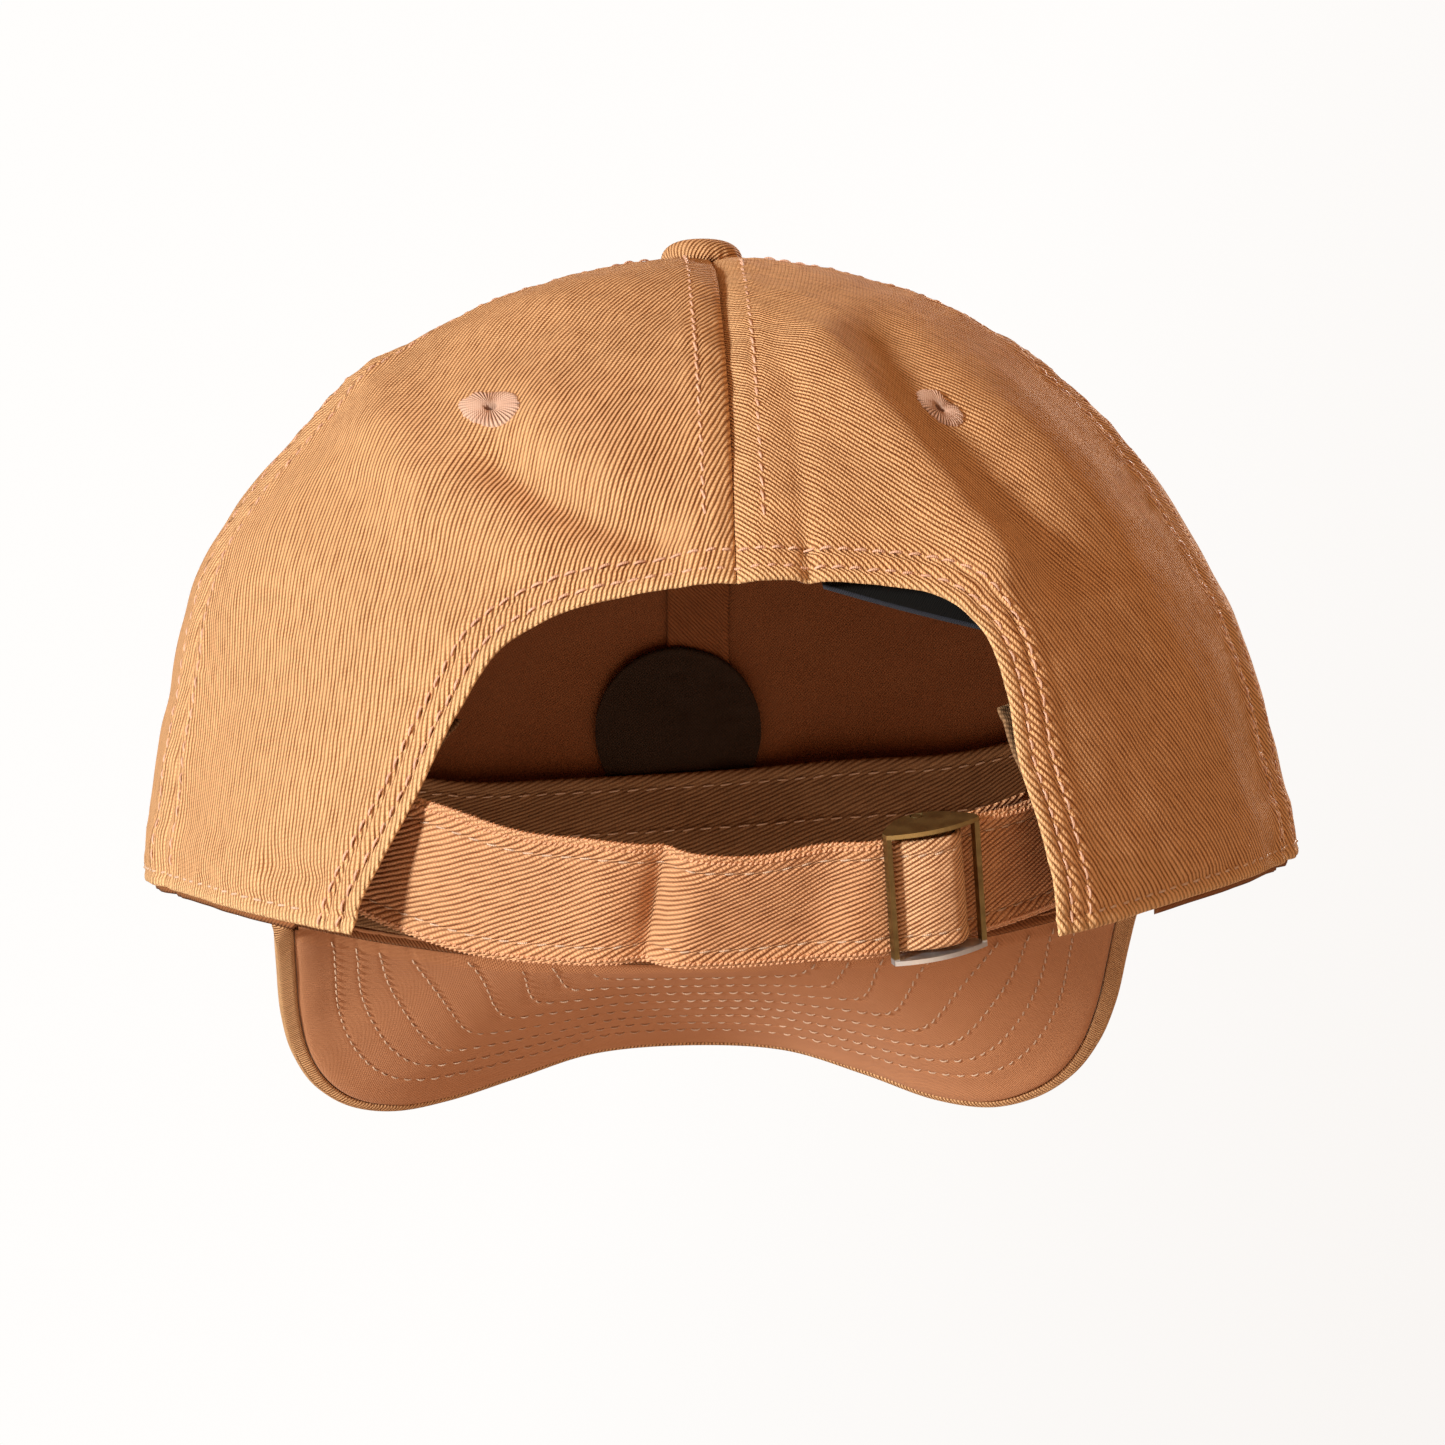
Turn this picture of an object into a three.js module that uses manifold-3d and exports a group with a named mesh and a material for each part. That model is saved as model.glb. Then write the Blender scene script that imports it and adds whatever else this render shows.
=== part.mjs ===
// A six-panel baseball cap: soft crown with a covered top button, curved visor, and a cloth strap
// across the rear opening that runs through a metal slide buckle.
// Millimetres, +Z up, visor towards -Y. The wearer's left is +X. The origin is the middle of the
// head opening, level with the front and the back of the rim.
import * as THREE from 'three';
import { mergeVertices } from 'three/addons/utils/BufferGeometryUtils.js';
import Module from 'manifold-3d';

const wasm = await Module();
wasm.setup();

// ---------------------------------------------------------------- driving dimensions

const gap = 0.3; // clearance between touching pieces

const crown = {
  halfWidth: 102.5, // of the rim, outside
  halfDepth: 88,
  height: 125, // top of the cloth above the front of the rim
  rimRise: 16, // how far the rim climbs at the two sides
  rimSharpness: 2.2,
  fullness: 0.97, // 1 is an ellipsoid, less is a fuller dome
  cloth: 1.2,
  topHole: 3.2, // radius left open under the button
};

// Seams between the panels, as angles round the crown from +X, and where each panel's eyelet sits.
const panels = [
  { name: 'left_back', from: 16, to: 90, eyelet: 56 },
  { name: 'left_side', from: -37, to: 16, eyelet: -10 },
  { name: 'left_front', from: -90, to: -37, eyelet: -62 },
  { name: 'right_front', from: -143, to: -90, eyelet: -118 },
  { name: 'right_side', from: -196, to: -143, eyelet: -170 },
  { name: 'right_back', from: 90, to: 164, eyelet: 124 },
];

const seams = [
  { name: 'centre_back', angle: 90, start: 0.6 },
  { name: 'left_back', angle: 16, start: 0.12 },
  { name: 'left_front', angle: -37, start: 0.12 },
  { name: 'centre_front', angle: -90, start: 0.12 },
  { name: 'right_front', angle: -143, start: 0.12 },
  { name: 'right_back', angle: 164, start: 0.12 },
];

const eyelet = { rise: 0.742, flange: 4.6, hole: 2.35, bore: 1.2, proud: 0.9 };

// Edge of the rear opening seen from behind, as [x, z] from the left corner to the right one.
const archEdge = [
  [69, -12], [64, 8], [54.5, 27], [47, 42], [39, 53], [29, 58.6], [15, 61.8], [0, 63.4],
  [-20, 63.2], [-33, 60.6], [-40.5, 54.5], [-44.5, 44], [-46.5, 32], [-50.5, 12], [-52, -12],
];

const tape = { inset: 1.9, thickness: 0.5, width: 12 };
const facing = { width: 8, start: 0.094, end: 0.923 };
const rimTape = { below: 1.2, above: 10, from: -226, to: 43 };
const sweatband = {
  inset: 4.2,
  thickness: 0.8,
  height: 36,
  standOff: 15.5, // how far its rear ends stand in from the crown, behind the strap
  settled: -5, // angle at which it lies against the crown again
  loose: 48, // angle from which it stands fully clear
  inward: 2.5, // how far its rear ends reach into the opening
  endRise: 5, // how much taller its rear ends stand
};
const patch = { x: 4, z: 43.4, radius: 16, inset: 3, thickness: 0.5 };
const label = { x: -15, z: 62.6, width: 46, height: 26, turn: 14.5, inset: 4.8, thickness: 0.6 };

const button = { x: 1.5, radius: 7.15, height: 4.9, post: 1.2, backRadius: 6.4 };

// Half of the visor's edge, from the corner at the rim to the middle of the front.
const visorEdge = [
  [82.2, -59, 8], [82.4, -77, 0.5], [81.5, -97, -9.2], [79.5, -112, -16.8], [75.5, -123, -23.2],
  [69, -131, -27.2], [60.5, -137, -28.2], [50, -142, -26.4], [36, -148, -22.6], [20, -153, -18],
  [0, -155, -16.6],
];
const visor = {
  from: -143, // the rim between these two seams carries it
  to: -37,
  rimGap: 0.5,
  board: 0.9, // half thickness of the stiff board
  boardEdge: 2.7, // how far the board stops short of the visor's edge
  cover: 0.6,
  layerGap: 0.45,
  turnUnder: 3.5, // how far the top cover is turned under the edge
  round: 0.4, // of the cover's edge
};

// The strap lies on a cone whose axis leans back, so that it droops in the middle.
const strap = {
  width: 20.4,
  thickness: 1.6,
  radius: 90,
  tilt: 31,
  taper: 12,
  lowest: { y: 78, z: -0.5 }, // lower edge in the middle of the back
  from: -52,
  to: 58,
};

const buckle = {
  around: -21, // place on the strap
  halfWidth: 8.5,
  innerHeight: 21.4,
  plate: 0.8,
  wall: 0.9,
  clear: 0.7, // side walls in front of the strap
  front: 2.3,
  belly: 4.2,
  back: 5.3,
  barDepth: 4.0, // centre bar behind the strap's outer face
  barRadius: 0.9,
};
const loop = { width: 18.4, inner: 1.2, outer: 2.1, length: 26 };

// ---------------------------------------------------------------- materials

const cloth = new THREE.MeshStandardMaterial({ color: 0xb97a45, roughness: 0.9, metalness: 0 });
const clothInside = new THREE.MeshStandardMaterial({ color: 0x9a5f34, roughness: 0.95, metalness: 0 });
const thread = new THREE.MeshStandardMaterial({ color: 0xc08a68, roughness: 0.8, metalness: 0 });
const black = new THREE.MeshStandardMaterial({ color: 0x15161a, roughness: 0.85, metalness: 0 });
const plastic = new THREE.MeshStandardMaterial({ color: 0xe8e4da, roughness: 0.6, metalness: 0 });
const brass = new THREE.MeshStandardMaterial({ color: 0x7d6a45, roughness: 0.4, metalness: 1 });
const steel = new THREE.MeshStandardMaterial({ color: 0x9a9a98, roughness: 0.4, metalness: 1 });

// ---------------------------------------------------------------- shared geometry

const toRadians = THREE.MathUtils.degToRad;
const vector = (x, y, z) => new THREE.Vector3(x, y, z);
const mix = THREE.MathUtils.lerp;

const group = new THREE.Group();

function add(name, geometry, material) {
  const mesh = new THREE.Mesh(geometry, material);
  mesh.name = name;
  group.add(mesh);
  return mesh;
}

function volumeOf(geometry) {
  const position = geometry.getAttribute('position');
  const corner = [vector(), vector(), vector()];
  let volume = 0;
  for (let start = 0; start < geometry.index.count; start += 3) {
    corner.forEach((point, k) => point.fromBufferAttribute(position, geometry.index.getX(start + k)));
    volume += corner[0].dot(corner[1].clone().cross(corner[2])) / 6;
  }
  return volume;
}

// The same body with its faces pointing out.
function facingOut(geometry) {
  if (volumeOf(geometry) < 0) {
    const index = Array.from(geometry.index.array);
    for (let start = 0; start < index.length; start += 3) {
      const second = index[start + 1];
      index[start + 1] = index[start + 2];
      index[start + 2] = second;
    }
    geometry.setIndex(index);
  }
  return geometry;
}

// A closed body between two faces. pointAt(u, v, layer) gives a point of the outer face (layer 0)
// or of the inner face (layer 1), with u and v from 0 to 1.
function layeredBody(pointAt, columns, rows) {
  const positions = [];
  for (const layer of [0, 1]) {
    for (let column = 0; column <= columns; column += 1) {
      for (let row = 0; row <= rows; row += 1) {
        positions.push(...pointAt(column / columns, row / rows, layer).toArray());
      }
    }
  }
  const at = (layer, column, row) => (layer * (columns + 1) + column) * (rows + 1) + row;
  const faces = [];
  const quad = (a, b, c, d) => faces.push(a, b, c, a, c, d);
  for (let column = 0; column < columns; column += 1) {
    const next = column + 1;
    for (let row = 0; row < rows; row += 1) {
      quad(at(0, column, row), at(0, next, row), at(0, next, row + 1), at(0, column, row + 1));
      quad(at(1, column, row), at(1, column, row + 1), at(1, next, row + 1), at(1, next, row));
    }
    quad(at(0, column, 0), at(1, column, 0), at(1, next, 0), at(0, next, 0));
    quad(at(0, column, rows), at(0, next, rows), at(1, next, rows), at(1, column, rows));
  }
  for (let row = 0; row < rows; row += 1) {
    quad(at(0, 0, row), at(0, 0, row + 1), at(1, 0, row + 1), at(1, 0, row));
    quad(at(0, columns, row), at(1, columns, row), at(1, columns, row + 1), at(0, columns, row + 1));
  }
  const geometry = new THREE.BufferGeometry();
  geometry.setAttribute('position', new THREE.Float32BufferAttribute(positions, 3));
  geometry.setIndex(faces);
  return facingOut(geometry);
}

// The same body with nothing but its positions, each corner held once.
function mergedOnly(geometry) {
  const bare = geometry.clone();
  bare.deleteAttribute('normal');
  bare.deleteAttribute('uv');
  return mergeVertices(bare, 1e-4);
}

function toSolid(geometry) {
  const merged = mergedOnly(geometry);
  return new wasm.Manifold(new wasm.Mesh({
    numProp: 3,
    vertProperties: new Float32Array(merged.getAttribute('position').array),
    triVerts: new Uint32Array(merged.index.array),
  }));
}

function fromSolid(solid) {
  const mesh = solid.getMesh();
  const geometry = new THREE.BufferGeometry();
  geometry.setAttribute('position', new THREE.BufferAttribute(mesh.vertProperties, 3));
  geometry.setIndex(new THREE.BufferAttribute(mesh.triVerts, 1));
  return geometry;
}

function cut(geometry, ...cutters) {
  return fromSolid(cutters.reduce((solid, cutter) => solid.subtract(toSolid(cutter)), toSolid(geometry)));
}

// A lathe turned round +Z instead of +Y.
function turned(profile, segments) {
  const points = profile.map(([radius, height]) => new THREE.Vector2(radius, height));
  return new THREE.LatheGeometry(points, segments).rotateX(Math.PI / 2);
}

// ---------------------------------------------------------------- crown

function rimHeight(angle) {
  return crown.rimRise * Math.abs(Math.cos(angle)) ** crown.rimSharpness;
}

function domeSpread(rise) {
  return rise > 0 ? (1 - rise ** (2 / crown.fullness)) ** (crown.fullness / 2) : 1;
}

// A point of the dome: angle runs round from +X, rise is 0 at the rim and 1 at the top, and inset
// is the distance inside the outer face.
function domePoint(angle, rise, inset) {
  const rim = rimHeight(angle);
  const spread = domeSpread(rise);
  return vector(
    (crown.halfWidth - inset) * Math.cos(angle) * spread,
    (crown.halfDepth - inset) * Math.sin(angle) * spread,
    rim + (crown.height - inset - rim) * rise,
  );
}

// Angle and rise of the dome's point straight behind (side 1) or in front (side -1) of x, z.
function domeWhere(x, z, inset, side) {
  let angle = side * Math.PI / 2;
  let rise = 0;
  for (let pass = 0; pass < 25; pass += 1) {
    const rim = rimHeight(angle);
    rise = (z - rim) / (crown.height - inset - rim);
    const reach = (crown.halfWidth - inset) * domeSpread(rise);
    angle = side * Math.acos(THREE.MathUtils.clamp(x / reach, -1, 1));
  }
  return { angle, rise };
}

function domeNormal(angle, rise) {
  const step = 0.01;
  const here = domePoint(angle, rise, 0);
  const round = domePoint(angle + step, rise, 0).sub(here);
  const up = domePoint(angle, rise + step, 0).sub(here);
  return round.cross(up).normalize();
}

// Rise at an even pace up the curve of the dome, so that rows stay evenly spaced at the top.
function evenRise(share) {
  return Math.sin(share * Math.PI / 2) ** crown.fullness;
}

// Distance covered on the outer face for each radian round the crown.
function roundScale(angle, rise) {
  const across = crown.halfWidth * Math.sin(angle);
  const along = crown.halfDepth * Math.cos(angle);
  return Math.hypot(across, along) * domeSpread(rise);
}

const topShare = 2 / Math.PI * Math.acos((crown.topHole / crown.halfDepth) ** (1 / crown.fullness));

function panelBody(panel) {
  const from = toRadians(panel.from);
  const to = toRadians(panel.to);
  return layeredBody((u, v, layer) => {
    const rise = evenRise(v * topShare);
    const first = from + gap / 2 / roundScale(from, rise);
    const last = to - gap / 2 / roundScale(to, rise);
    return domePoint(mix(first, last, u), rise, layer * crown.cloth);
  }, 10, 11);
}

// The opening as a bar that runs out through the back of the crown, widened by margin.
const archCurve = new THREE.SplineCurve(archEdge.map(([x, z]) => new THREE.Vector2(x, z)));

function archPoint(share, margin) {
  const along = archCurve.getTangentAt(share);
  return archCurve.getPointAt(share).add(new THREE.Vector2(along.y, -along.x).multiplyScalar(margin));
}

function archCutter(margin) {
  const steps = 40;
  const outline = [];
  for (let step = 0; step <= steps; step += 1) {
    outline.push(archPoint(step / steps, margin));
  }
  const bar = new THREE.ExtrudeGeometry(new THREE.Shape(outline), { depth: 100, bevelEnabled: false });
  return bar.rotateX(Math.PI / 2).translate(0, 130, 0);
}

function placeOnDome(geometry, angle, rise) {
  const turn = new THREE.Quaternion().setFromUnitVectors(vector(0, 0, 1), domeNormal(angle, rise));
  const spot = domePoint(angle, rise, 0);
  return geometry.applyMatrix4(new THREE.Matrix4().compose(spot, turn, vector(1, 1, 1)));
}

function eyeletCutter(panel) {
  const drill = new THREE.CylinderGeometry(eyelet.hole, eyelet.hole, 10, 16).rotateX(Math.PI / 2);
  return placeOnDome(drill, toRadians(panel.eyelet), eyelet.rise);
}

// A sewn ring that grips the cloth from both sides.
function eyeletBody(panel) {
  const inside = -crown.cloth - 2 * gap;
  const ring = turned([
    [eyelet.hole - gap, gap],
    [eyelet.flange, gap],
    [eyelet.flange - 0.4, eyelet.proud],
    [eyelet.flange * 0.6, gap + eyelet.proud],
    [eyelet.bore + 0.3, eyelet.proud],
    [eyelet.bore, 0],
    [eyelet.bore, inside - 0.5],
    [eyelet.flange - 1, inside - 0.5],
    [eyelet.flange - 1, inside],
    [eyelet.hole - gap, inside],
    [eyelet.hole - gap, gap],
  ], 14);
  return placeOnDome(facingOut(mergedOnly(ring)), toRadians(panel.eyelet), eyelet.rise);
}

for (const panel of panels) {
  const cutters = [eyeletCutter(panel)];
  if (panel.name.endsWith('back')) {
    cutters.push(archCutter(0));
  }
  add(`${panel.name}_panel`, cut(panelBody(panel), ...cutters), cloth);
  add(`${panel.name}_eyelet`, eyeletBody(panel), thread);
}

// ---------------------------------------------------------------- tapes inside the crown

function seamTapeBody(seam) {
  const angle = toRadians(seam.angle);
  const lastShare = 2 / Math.PI * Math.acos(7 / crown.halfDepth);
  const firstShare = 2 / Math.PI * Math.asin(seam.start ** (1 / crown.fullness));
  return layeredBody((u, v, layer) => {
    const rise = evenRise(mix(firstShare, lastShare, v));
    const scale = roundScale(angle, rise);
    const halfTurn = Math.min(tape.width / 2 / scale, toRadians(22));
    return domePoint(mix(angle - halfTurn, angle + halfTurn, u), rise, tape.inset + layer * tape.thickness);
  }, 2, 9);
}

for (const seam of seams) {
  add(`${seam.name}_seam_tape`, seamTapeBody(seam), clothInside);
}

// The turned hem of the rear opening, backed by a strip on the inside.
function openingFacingBody() {
  return layeredBody((u, v, layer) => {
    const spot = archPoint(mix(facing.start, facing.end, u), mix(gap, facing.width, v));
    const { angle, rise } = domeWhere(spot.x, spot.y, tape.inset, 1);
    return domePoint(angle, rise, tape.inset + layer * tape.thickness);
  }, 36, 2);
}

function rimTapeBody() {
  return layeredBody((u, v, layer) => {
    const angle = mix(toRadians(rimTape.from), toRadians(rimTape.to), u);
    const rise = mix(-rimTape.below, rimTape.above, v) / (crown.height - rimHeight(angle));
    return domePoint(angle, rise, tape.inset + layer * tape.thickness);
  }, 40, 1);
}

// From 0 where the sweatband lies against the crown to 1 at its rear ends, behind the strap.
function sweatbandLoose(angle) {
  const towardsBack = Math.asin(Math.sin(angle));
  return THREE.MathUtils.smoothstep(towardsBack, toRadians(sweatband.settled), toRadians(sweatband.loose));
}

function sweatbandBody() {
  const band = layeredBody((u, v, layer) => {
    const angle = mix(toRadians(-244), toRadians(64), u);
    const loose = sweatbandLoose(angle);
    const top = sweatband.height + loose * sweatband.endRise;
    const rise = mix(0.5, top, v) / (crown.height - rimHeight(angle));
    const inset = sweatband.inset + loose * sweatband.standOff;
    return domePoint(angle, rise, inset + layer * sweatband.thickness);
  }, 48, 3);
  return cut(band, archCutter(-sweatband.inward));
}

add('opening_facing', openingFacingBody(), clothInside);
add('rim_tape', rimTapeBody(), clothInside);
add('sweatband', sweatbandBody(), cloth);

// ---------------------------------------------------------------- patch and label inside

function patchBody() {
  return layeredBody((u, v, layer) => {
    const across = -Math.cos(mix(0.12, Math.PI - 0.12, u)) * patch.radius;
    const tall = Math.sqrt(patch.radius ** 2 - across ** 2);
    const { angle, rise } = domeWhere(patch.x + across, patch.z + mix(-tall, tall, v), patch.inset, -1);
    return domePoint(angle, rise, patch.inset + layer * patch.thickness);
  }, 12, 6);
}

function labelBody() {
  const turn = toRadians(label.turn);
  return layeredBody((u, v, layer) => {
    const x = label.x - u * label.width * Math.cos(turn) + v * label.height * Math.sin(turn);
    const z = label.z - u * label.width * Math.sin(turn) + v * label.height * Math.cos(turn);
    const { angle, rise } = domeWhere(x, z, label.inset, 1);
    return domePoint(angle, rise, label.inset + layer * label.thickness);
  }, 8, 5);
}

add('front_backing_patch', patchBody(), black);
add('blank_label', labelBody(), black);

// ---------------------------------------------------------------- top button

const buttonBase = vector(button.x, 0, crown.height);

function buttonCoverBody() {
  const r = button.radius;
  const h = button.height;
  return turned([
    [0, h], [r * 0.45, h * 0.95], [r * 0.78, h * 0.76], [r * 0.96, h * 0.5], [r, h * 0.25],
    [r * 0.94, gap], [r * 0.84, gap], [r * 0.82, h * 0.4], [r * 0.65, h * 0.62], [r * 0.35, h * 0.78],
    [0, h * 0.82],
  ], 24);
}

function buttonCoreBody() {
  const r = button.radius;
  const h = button.height;
  return turned([
    [0, h * 0.76], [r * 0.34, h * 0.7], [r * 0.62, h * 0.54], [r * 0.76, h * 0.35], [r * 0.76, gap],
    [button.post, gap], [button.post, -5], [0, -5],
  ], 20);
}

function buttonBackBody() {
  const top = -tape.inset - tape.thickness - 2 * gap;
  const hole = button.post + gap;
  return turned([
    [hole, top], [button.backRadius, top], [button.backRadius, top - 0.6], [hole + 1, top - 1.2],
    [hole, top - 1.2], [hole, top],
  ], 20);
}

for (const [name, body, material] of [
  ['button_cover', buttonCoverBody(), cloth],
  ['button_core', buttonCoreBody(), steel],
  ['button_back_cap', buttonBackBody(), steel],
]) {
  add(name, facingOut(mergedOnly(body)), material).position.copy(buttonBase);
}

// ---------------------------------------------------------------- visor

const rightHalf = visorEdge.slice(0, -1).map(([x, y, z]) => vector(-x, y, z));
const leftHalf = visorEdge.map(([x, y, z]) => vector(x, y, z)).reverse();
const visorCurve = new THREE.CatmullRomCurve3([...rightHalf, ...leftHalf], false, 'centripetal');

// One straight line of the visor from the rim's seam to its edge. u runs from right to left.
function visorLine(u) {
  const share = THREE.MathUtils.clamp(u, 0, 1);
  const seam = domePoint(mix(toRadians(visor.from), toRadians(visor.to), share), 0, -visor.rimGap);
  return { seam, edge: visorCurve.getPointAt(share) };
}

function visorReach(u) {
  const { seam, edge } = visorLine(u);
  return seam.distanceTo(edge);
}

// A point of the visor by its distance in from the edge and its height above the middle of the
// board. Every height on one line is measured the same way, square to the line.
function visorPoint(u, fromEdge, height) {
  const step = 0.01;
  const before = visorLine(u - step);
  const after = visorLine(u + step);
  const { seam, edge } = visorLine(u);
  const along = after.edge.sub(before.edge).normalize().add(after.seam.sub(before.seam).normalize());
  const normal = along.cross(seam.clone().sub(edge)).normalize();
  return edge.lerp(seam, Math.min(fromEdge / visorReach(u), 1)).addScaledVector(normal, height);
}

const visorColumns = 36;

// The visor's layers share these rows, from the rim to a line beside the turned edge, so that they
// stay an even distance apart.
function visorRows(u) {
  return [1, 0.65, 0.3, 0].map((share) => mix(visor.turnUnder + 2 * gap, visorReach(u), share));
}

function visorBoardBody() {
  return layeredBody((u, v, layer) => {
    const rows = [...visorRows(u), visor.boardEdge];
    return visorPoint(u, rows[Math.round(v * (rows.length - 1))], visor.board * (1 - 2 * layer));
  }, visorColumns, 4);
}

// The top cover goes over the board, round its edge and a little way under it.
function visorTopBody() {
  const low = visor.board + visor.layerGap;
  const high = low + visor.cover;
  return layeredBody((u, v, layer) => {
    const lift = layer ? low : high;
    const edge = layer ? visor.boardEdge - visor.layerGap : 0;
    const corner = layer ? edge + gap / 3 : edge + visor.round;
    const path = [
      ...visorRows(u).map((fromEdge) => [fromEdge, lift]),
      [corner, lift],
      [edge, layer ? lift : lift - visor.round],
      [edge, layer ? -lift : visor.round - lift],
      [corner, -lift],
      [visor.turnUnder, -lift],
    ];
    const [fromEdge, height] = path[Math.round(v * (path.length - 1))];
    return visorPoint(u, fromEdge, height);
  }, visorColumns, 8);
}

function visorBottomBody() {
  const high = visor.board + visor.layerGap;
  return layeredBody((u, v, layer) => (
    visorPoint(u, visorRows(u)[Math.round(v * 3)], -high - visor.cover * layer)
  ), visorColumns, 3);
}

add('visor_board', visorBoardBody(), plastic);
add('visor_top_cover', visorTopBody(), cloth);
add('visor_bottom_cover', visorBottomBody(), cloth);

// ---------------------------------------------------------------- strap and buckle

const strapTilt = toRadians(strap.tilt);
const strapTaper = toRadians(strap.taper);
const strapAxis = vector(0, Math.sin(strapTilt), Math.cos(strapTilt));
const strapCentre = vector(
  0,
  strap.lowest.y - strap.radius * Math.cos(strapTilt),
  strap.lowest.z + strap.radius * Math.sin(strapTilt),
);

// The strap's own directions at an angle round its axis: across it and out of it.
function strapFrame(around) {
  const radial = vector(
    Math.sin(around),
    Math.cos(around) * Math.cos(strapTilt),
    -Math.cos(around) * Math.sin(strapTilt),
  );
  const across = strapAxis.clone().multiplyScalar(Math.cos(strapTaper));
  across.addScaledVector(radial, -Math.sin(strapTaper));
  const out = radial.clone().multiplyScalar(Math.cos(strapTaper));
  out.addScaledVector(strapAxis, Math.sin(strapTaper));
  return { radial, across, out };
}

// A point by its angle round the strap's axis, its distance from the lower edge and its distance
// out from the outer face.
function strapPoint(around, up, outward) {
  const { radial, across, out } = strapFrame(around);
  const point = strapCentre.clone().addScaledVector(radial, strap.radius);
  return point.addScaledVector(across, up).addScaledVector(out, outward);
}

function strapBody() {
  return layeredBody((u, v, layer) => (
    strapPoint(mix(toRadians(strap.from), toRadians(strap.to), u), strap.width * v, -strap.thickness * layer)
  ), 40, 1);
}

const buckleAround = toRadians(buckle.around);

// The short strap that holds the buckle: out from under the right panel, round the centre bar and
// back again.
function buckleLoopBody() {
  const bend = 6;
  const legs = 4;
  const rows = bend + 2 * legs;
  return layeredBody((u, v, layer) => {
    const row = Math.round(v * rows);
    const radius = layer ? loop.inner : loop.outer;
    const turn = THREE.MathUtils.clamp((row - legs) / bend, 0, 1) * Math.PI;
    const legShare = Math.max(legs - row, row - legs - bend, 0) / legs;
    const aside = radius * Math.sin(turn) - loop.length * legShare;
    const outward = -buckle.barDepth + radius * Math.cos(turn);
    const up = mix(strap.width - loop.width, strap.width + loop.width, u) / 2;
    return strapPoint(buckleAround + aside / strap.radius, up, outward);
  }, 2, rows);
}

// The buckle's own frame: x to the wearer's right, y up the strap and z out of it.
function placeBuckle(mesh) {
  const { across, out } = strapFrame(buckleAround);
  const aside = across.clone().cross(out);
  const basis = new THREE.Matrix4().makeBasis(aside, across, out);
  mesh.quaternion.setFromRotationMatrix(basis);
  mesh.position.copy(strapPoint(buckleAround, strap.width / 2, 0));
}

function bucklePlate(bottom) {
  const outline = new THREE.Shape();
  outline.moveTo(-buckle.halfWidth, buckle.clear);
  outline.lineTo(-buckle.halfWidth, buckle.front);
  outline.quadraticCurveTo(0, 2 * buckle.belly - buckle.front, buckle.halfWidth, buckle.front);
  outline.lineTo(buckle.halfWidth, buckle.clear);
  outline.quadraticCurveTo(0, -2 * buckle.back - buckle.clear, -buckle.halfWidth, buckle.clear);
  const options = { depth: buckle.plate, bevelEnabled: false, curveSegments: 14 };
  const plate = new THREE.ExtrudeGeometry(outline, options);
  return plate.rotateX(Math.PI / 2).translate(0, bottom + buckle.plate, 0);
}

function buckleFrameBody() {
  const half = buckle.innerHeight / 2;
  const wallHeight = buckle.innerHeight + buckle.plate;
  const wallDepth = buckle.front - buckle.clear;
  const wallAt = buckle.halfWidth - buckle.wall / 2;
  const pieces = [bucklePlate(half), bucklePlate(-half - buckle.plate)];
  for (const side of [-1, 1]) {
    const wall = new THREE.BoxGeometry(buckle.wall, wallHeight, wallDepth);
    pieces.push(wall.translate(side * wallAt, 0, buckle.clear + wallDepth / 2));
  }
  const drill = new THREE.CylinderGeometry(buckle.barRadius + gap, buckle.barRadius + gap, 60, 16);
  const body = pieces.map(toSolid).reduce((whole, piece) => whole.add(piece));
  return fromSolid(body.subtract(toSolid(drill.translate(0, 0, -buckle.barDepth))));
}

function buckleBarBody() {
  const height = buckle.innerHeight + 2 * buckle.plate;
  const bar = new THREE.CylinderGeometry(buckle.barRadius, buckle.barRadius, height, 16);
  return bar.translate(0, 0, -buckle.barDepth);
}

add('strap', strapBody(), cloth);
add('buckle_loop', buckleLoopBody(), cloth);
placeBuckle(add('buckle_frame', buckleFrameBody(), brass));
placeBuckle(add('buckle_centre_bar', buckleBarBody(), brass));

export default group;
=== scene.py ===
"""The looks of a six-panel cotton twill baseball cap, seen from behind.

Shapes are worked out in millimetres in the model's own frame (+Z up, visor towards -Y, the wearer's
left at +X) and turned into metres where a mesh is made. Every sewn piece is a grid of points on its
middle surface, given thickness and rounded edges, with its flat pattern in millimetres as its UVs.
"""

import math

import bpy
import numpy as np
from mathutils import Matrix, Vector


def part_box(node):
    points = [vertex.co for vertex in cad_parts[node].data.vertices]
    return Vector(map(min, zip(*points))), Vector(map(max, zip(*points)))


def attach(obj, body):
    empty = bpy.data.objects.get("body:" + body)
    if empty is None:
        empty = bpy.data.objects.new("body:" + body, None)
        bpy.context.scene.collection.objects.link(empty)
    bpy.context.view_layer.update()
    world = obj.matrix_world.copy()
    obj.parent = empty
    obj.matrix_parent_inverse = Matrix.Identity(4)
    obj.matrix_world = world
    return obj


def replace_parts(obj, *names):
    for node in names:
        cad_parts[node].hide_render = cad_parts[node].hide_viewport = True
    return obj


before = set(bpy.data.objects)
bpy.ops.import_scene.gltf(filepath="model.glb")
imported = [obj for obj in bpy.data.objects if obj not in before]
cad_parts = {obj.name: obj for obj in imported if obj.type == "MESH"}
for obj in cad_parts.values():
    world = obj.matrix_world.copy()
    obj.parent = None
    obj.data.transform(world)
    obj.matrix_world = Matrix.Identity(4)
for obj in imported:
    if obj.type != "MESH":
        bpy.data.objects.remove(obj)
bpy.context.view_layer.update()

MM = 0.001
TURN = 2 * math.pi

# ---------------------------------------------------------------- driving dimensions, millimetres

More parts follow.
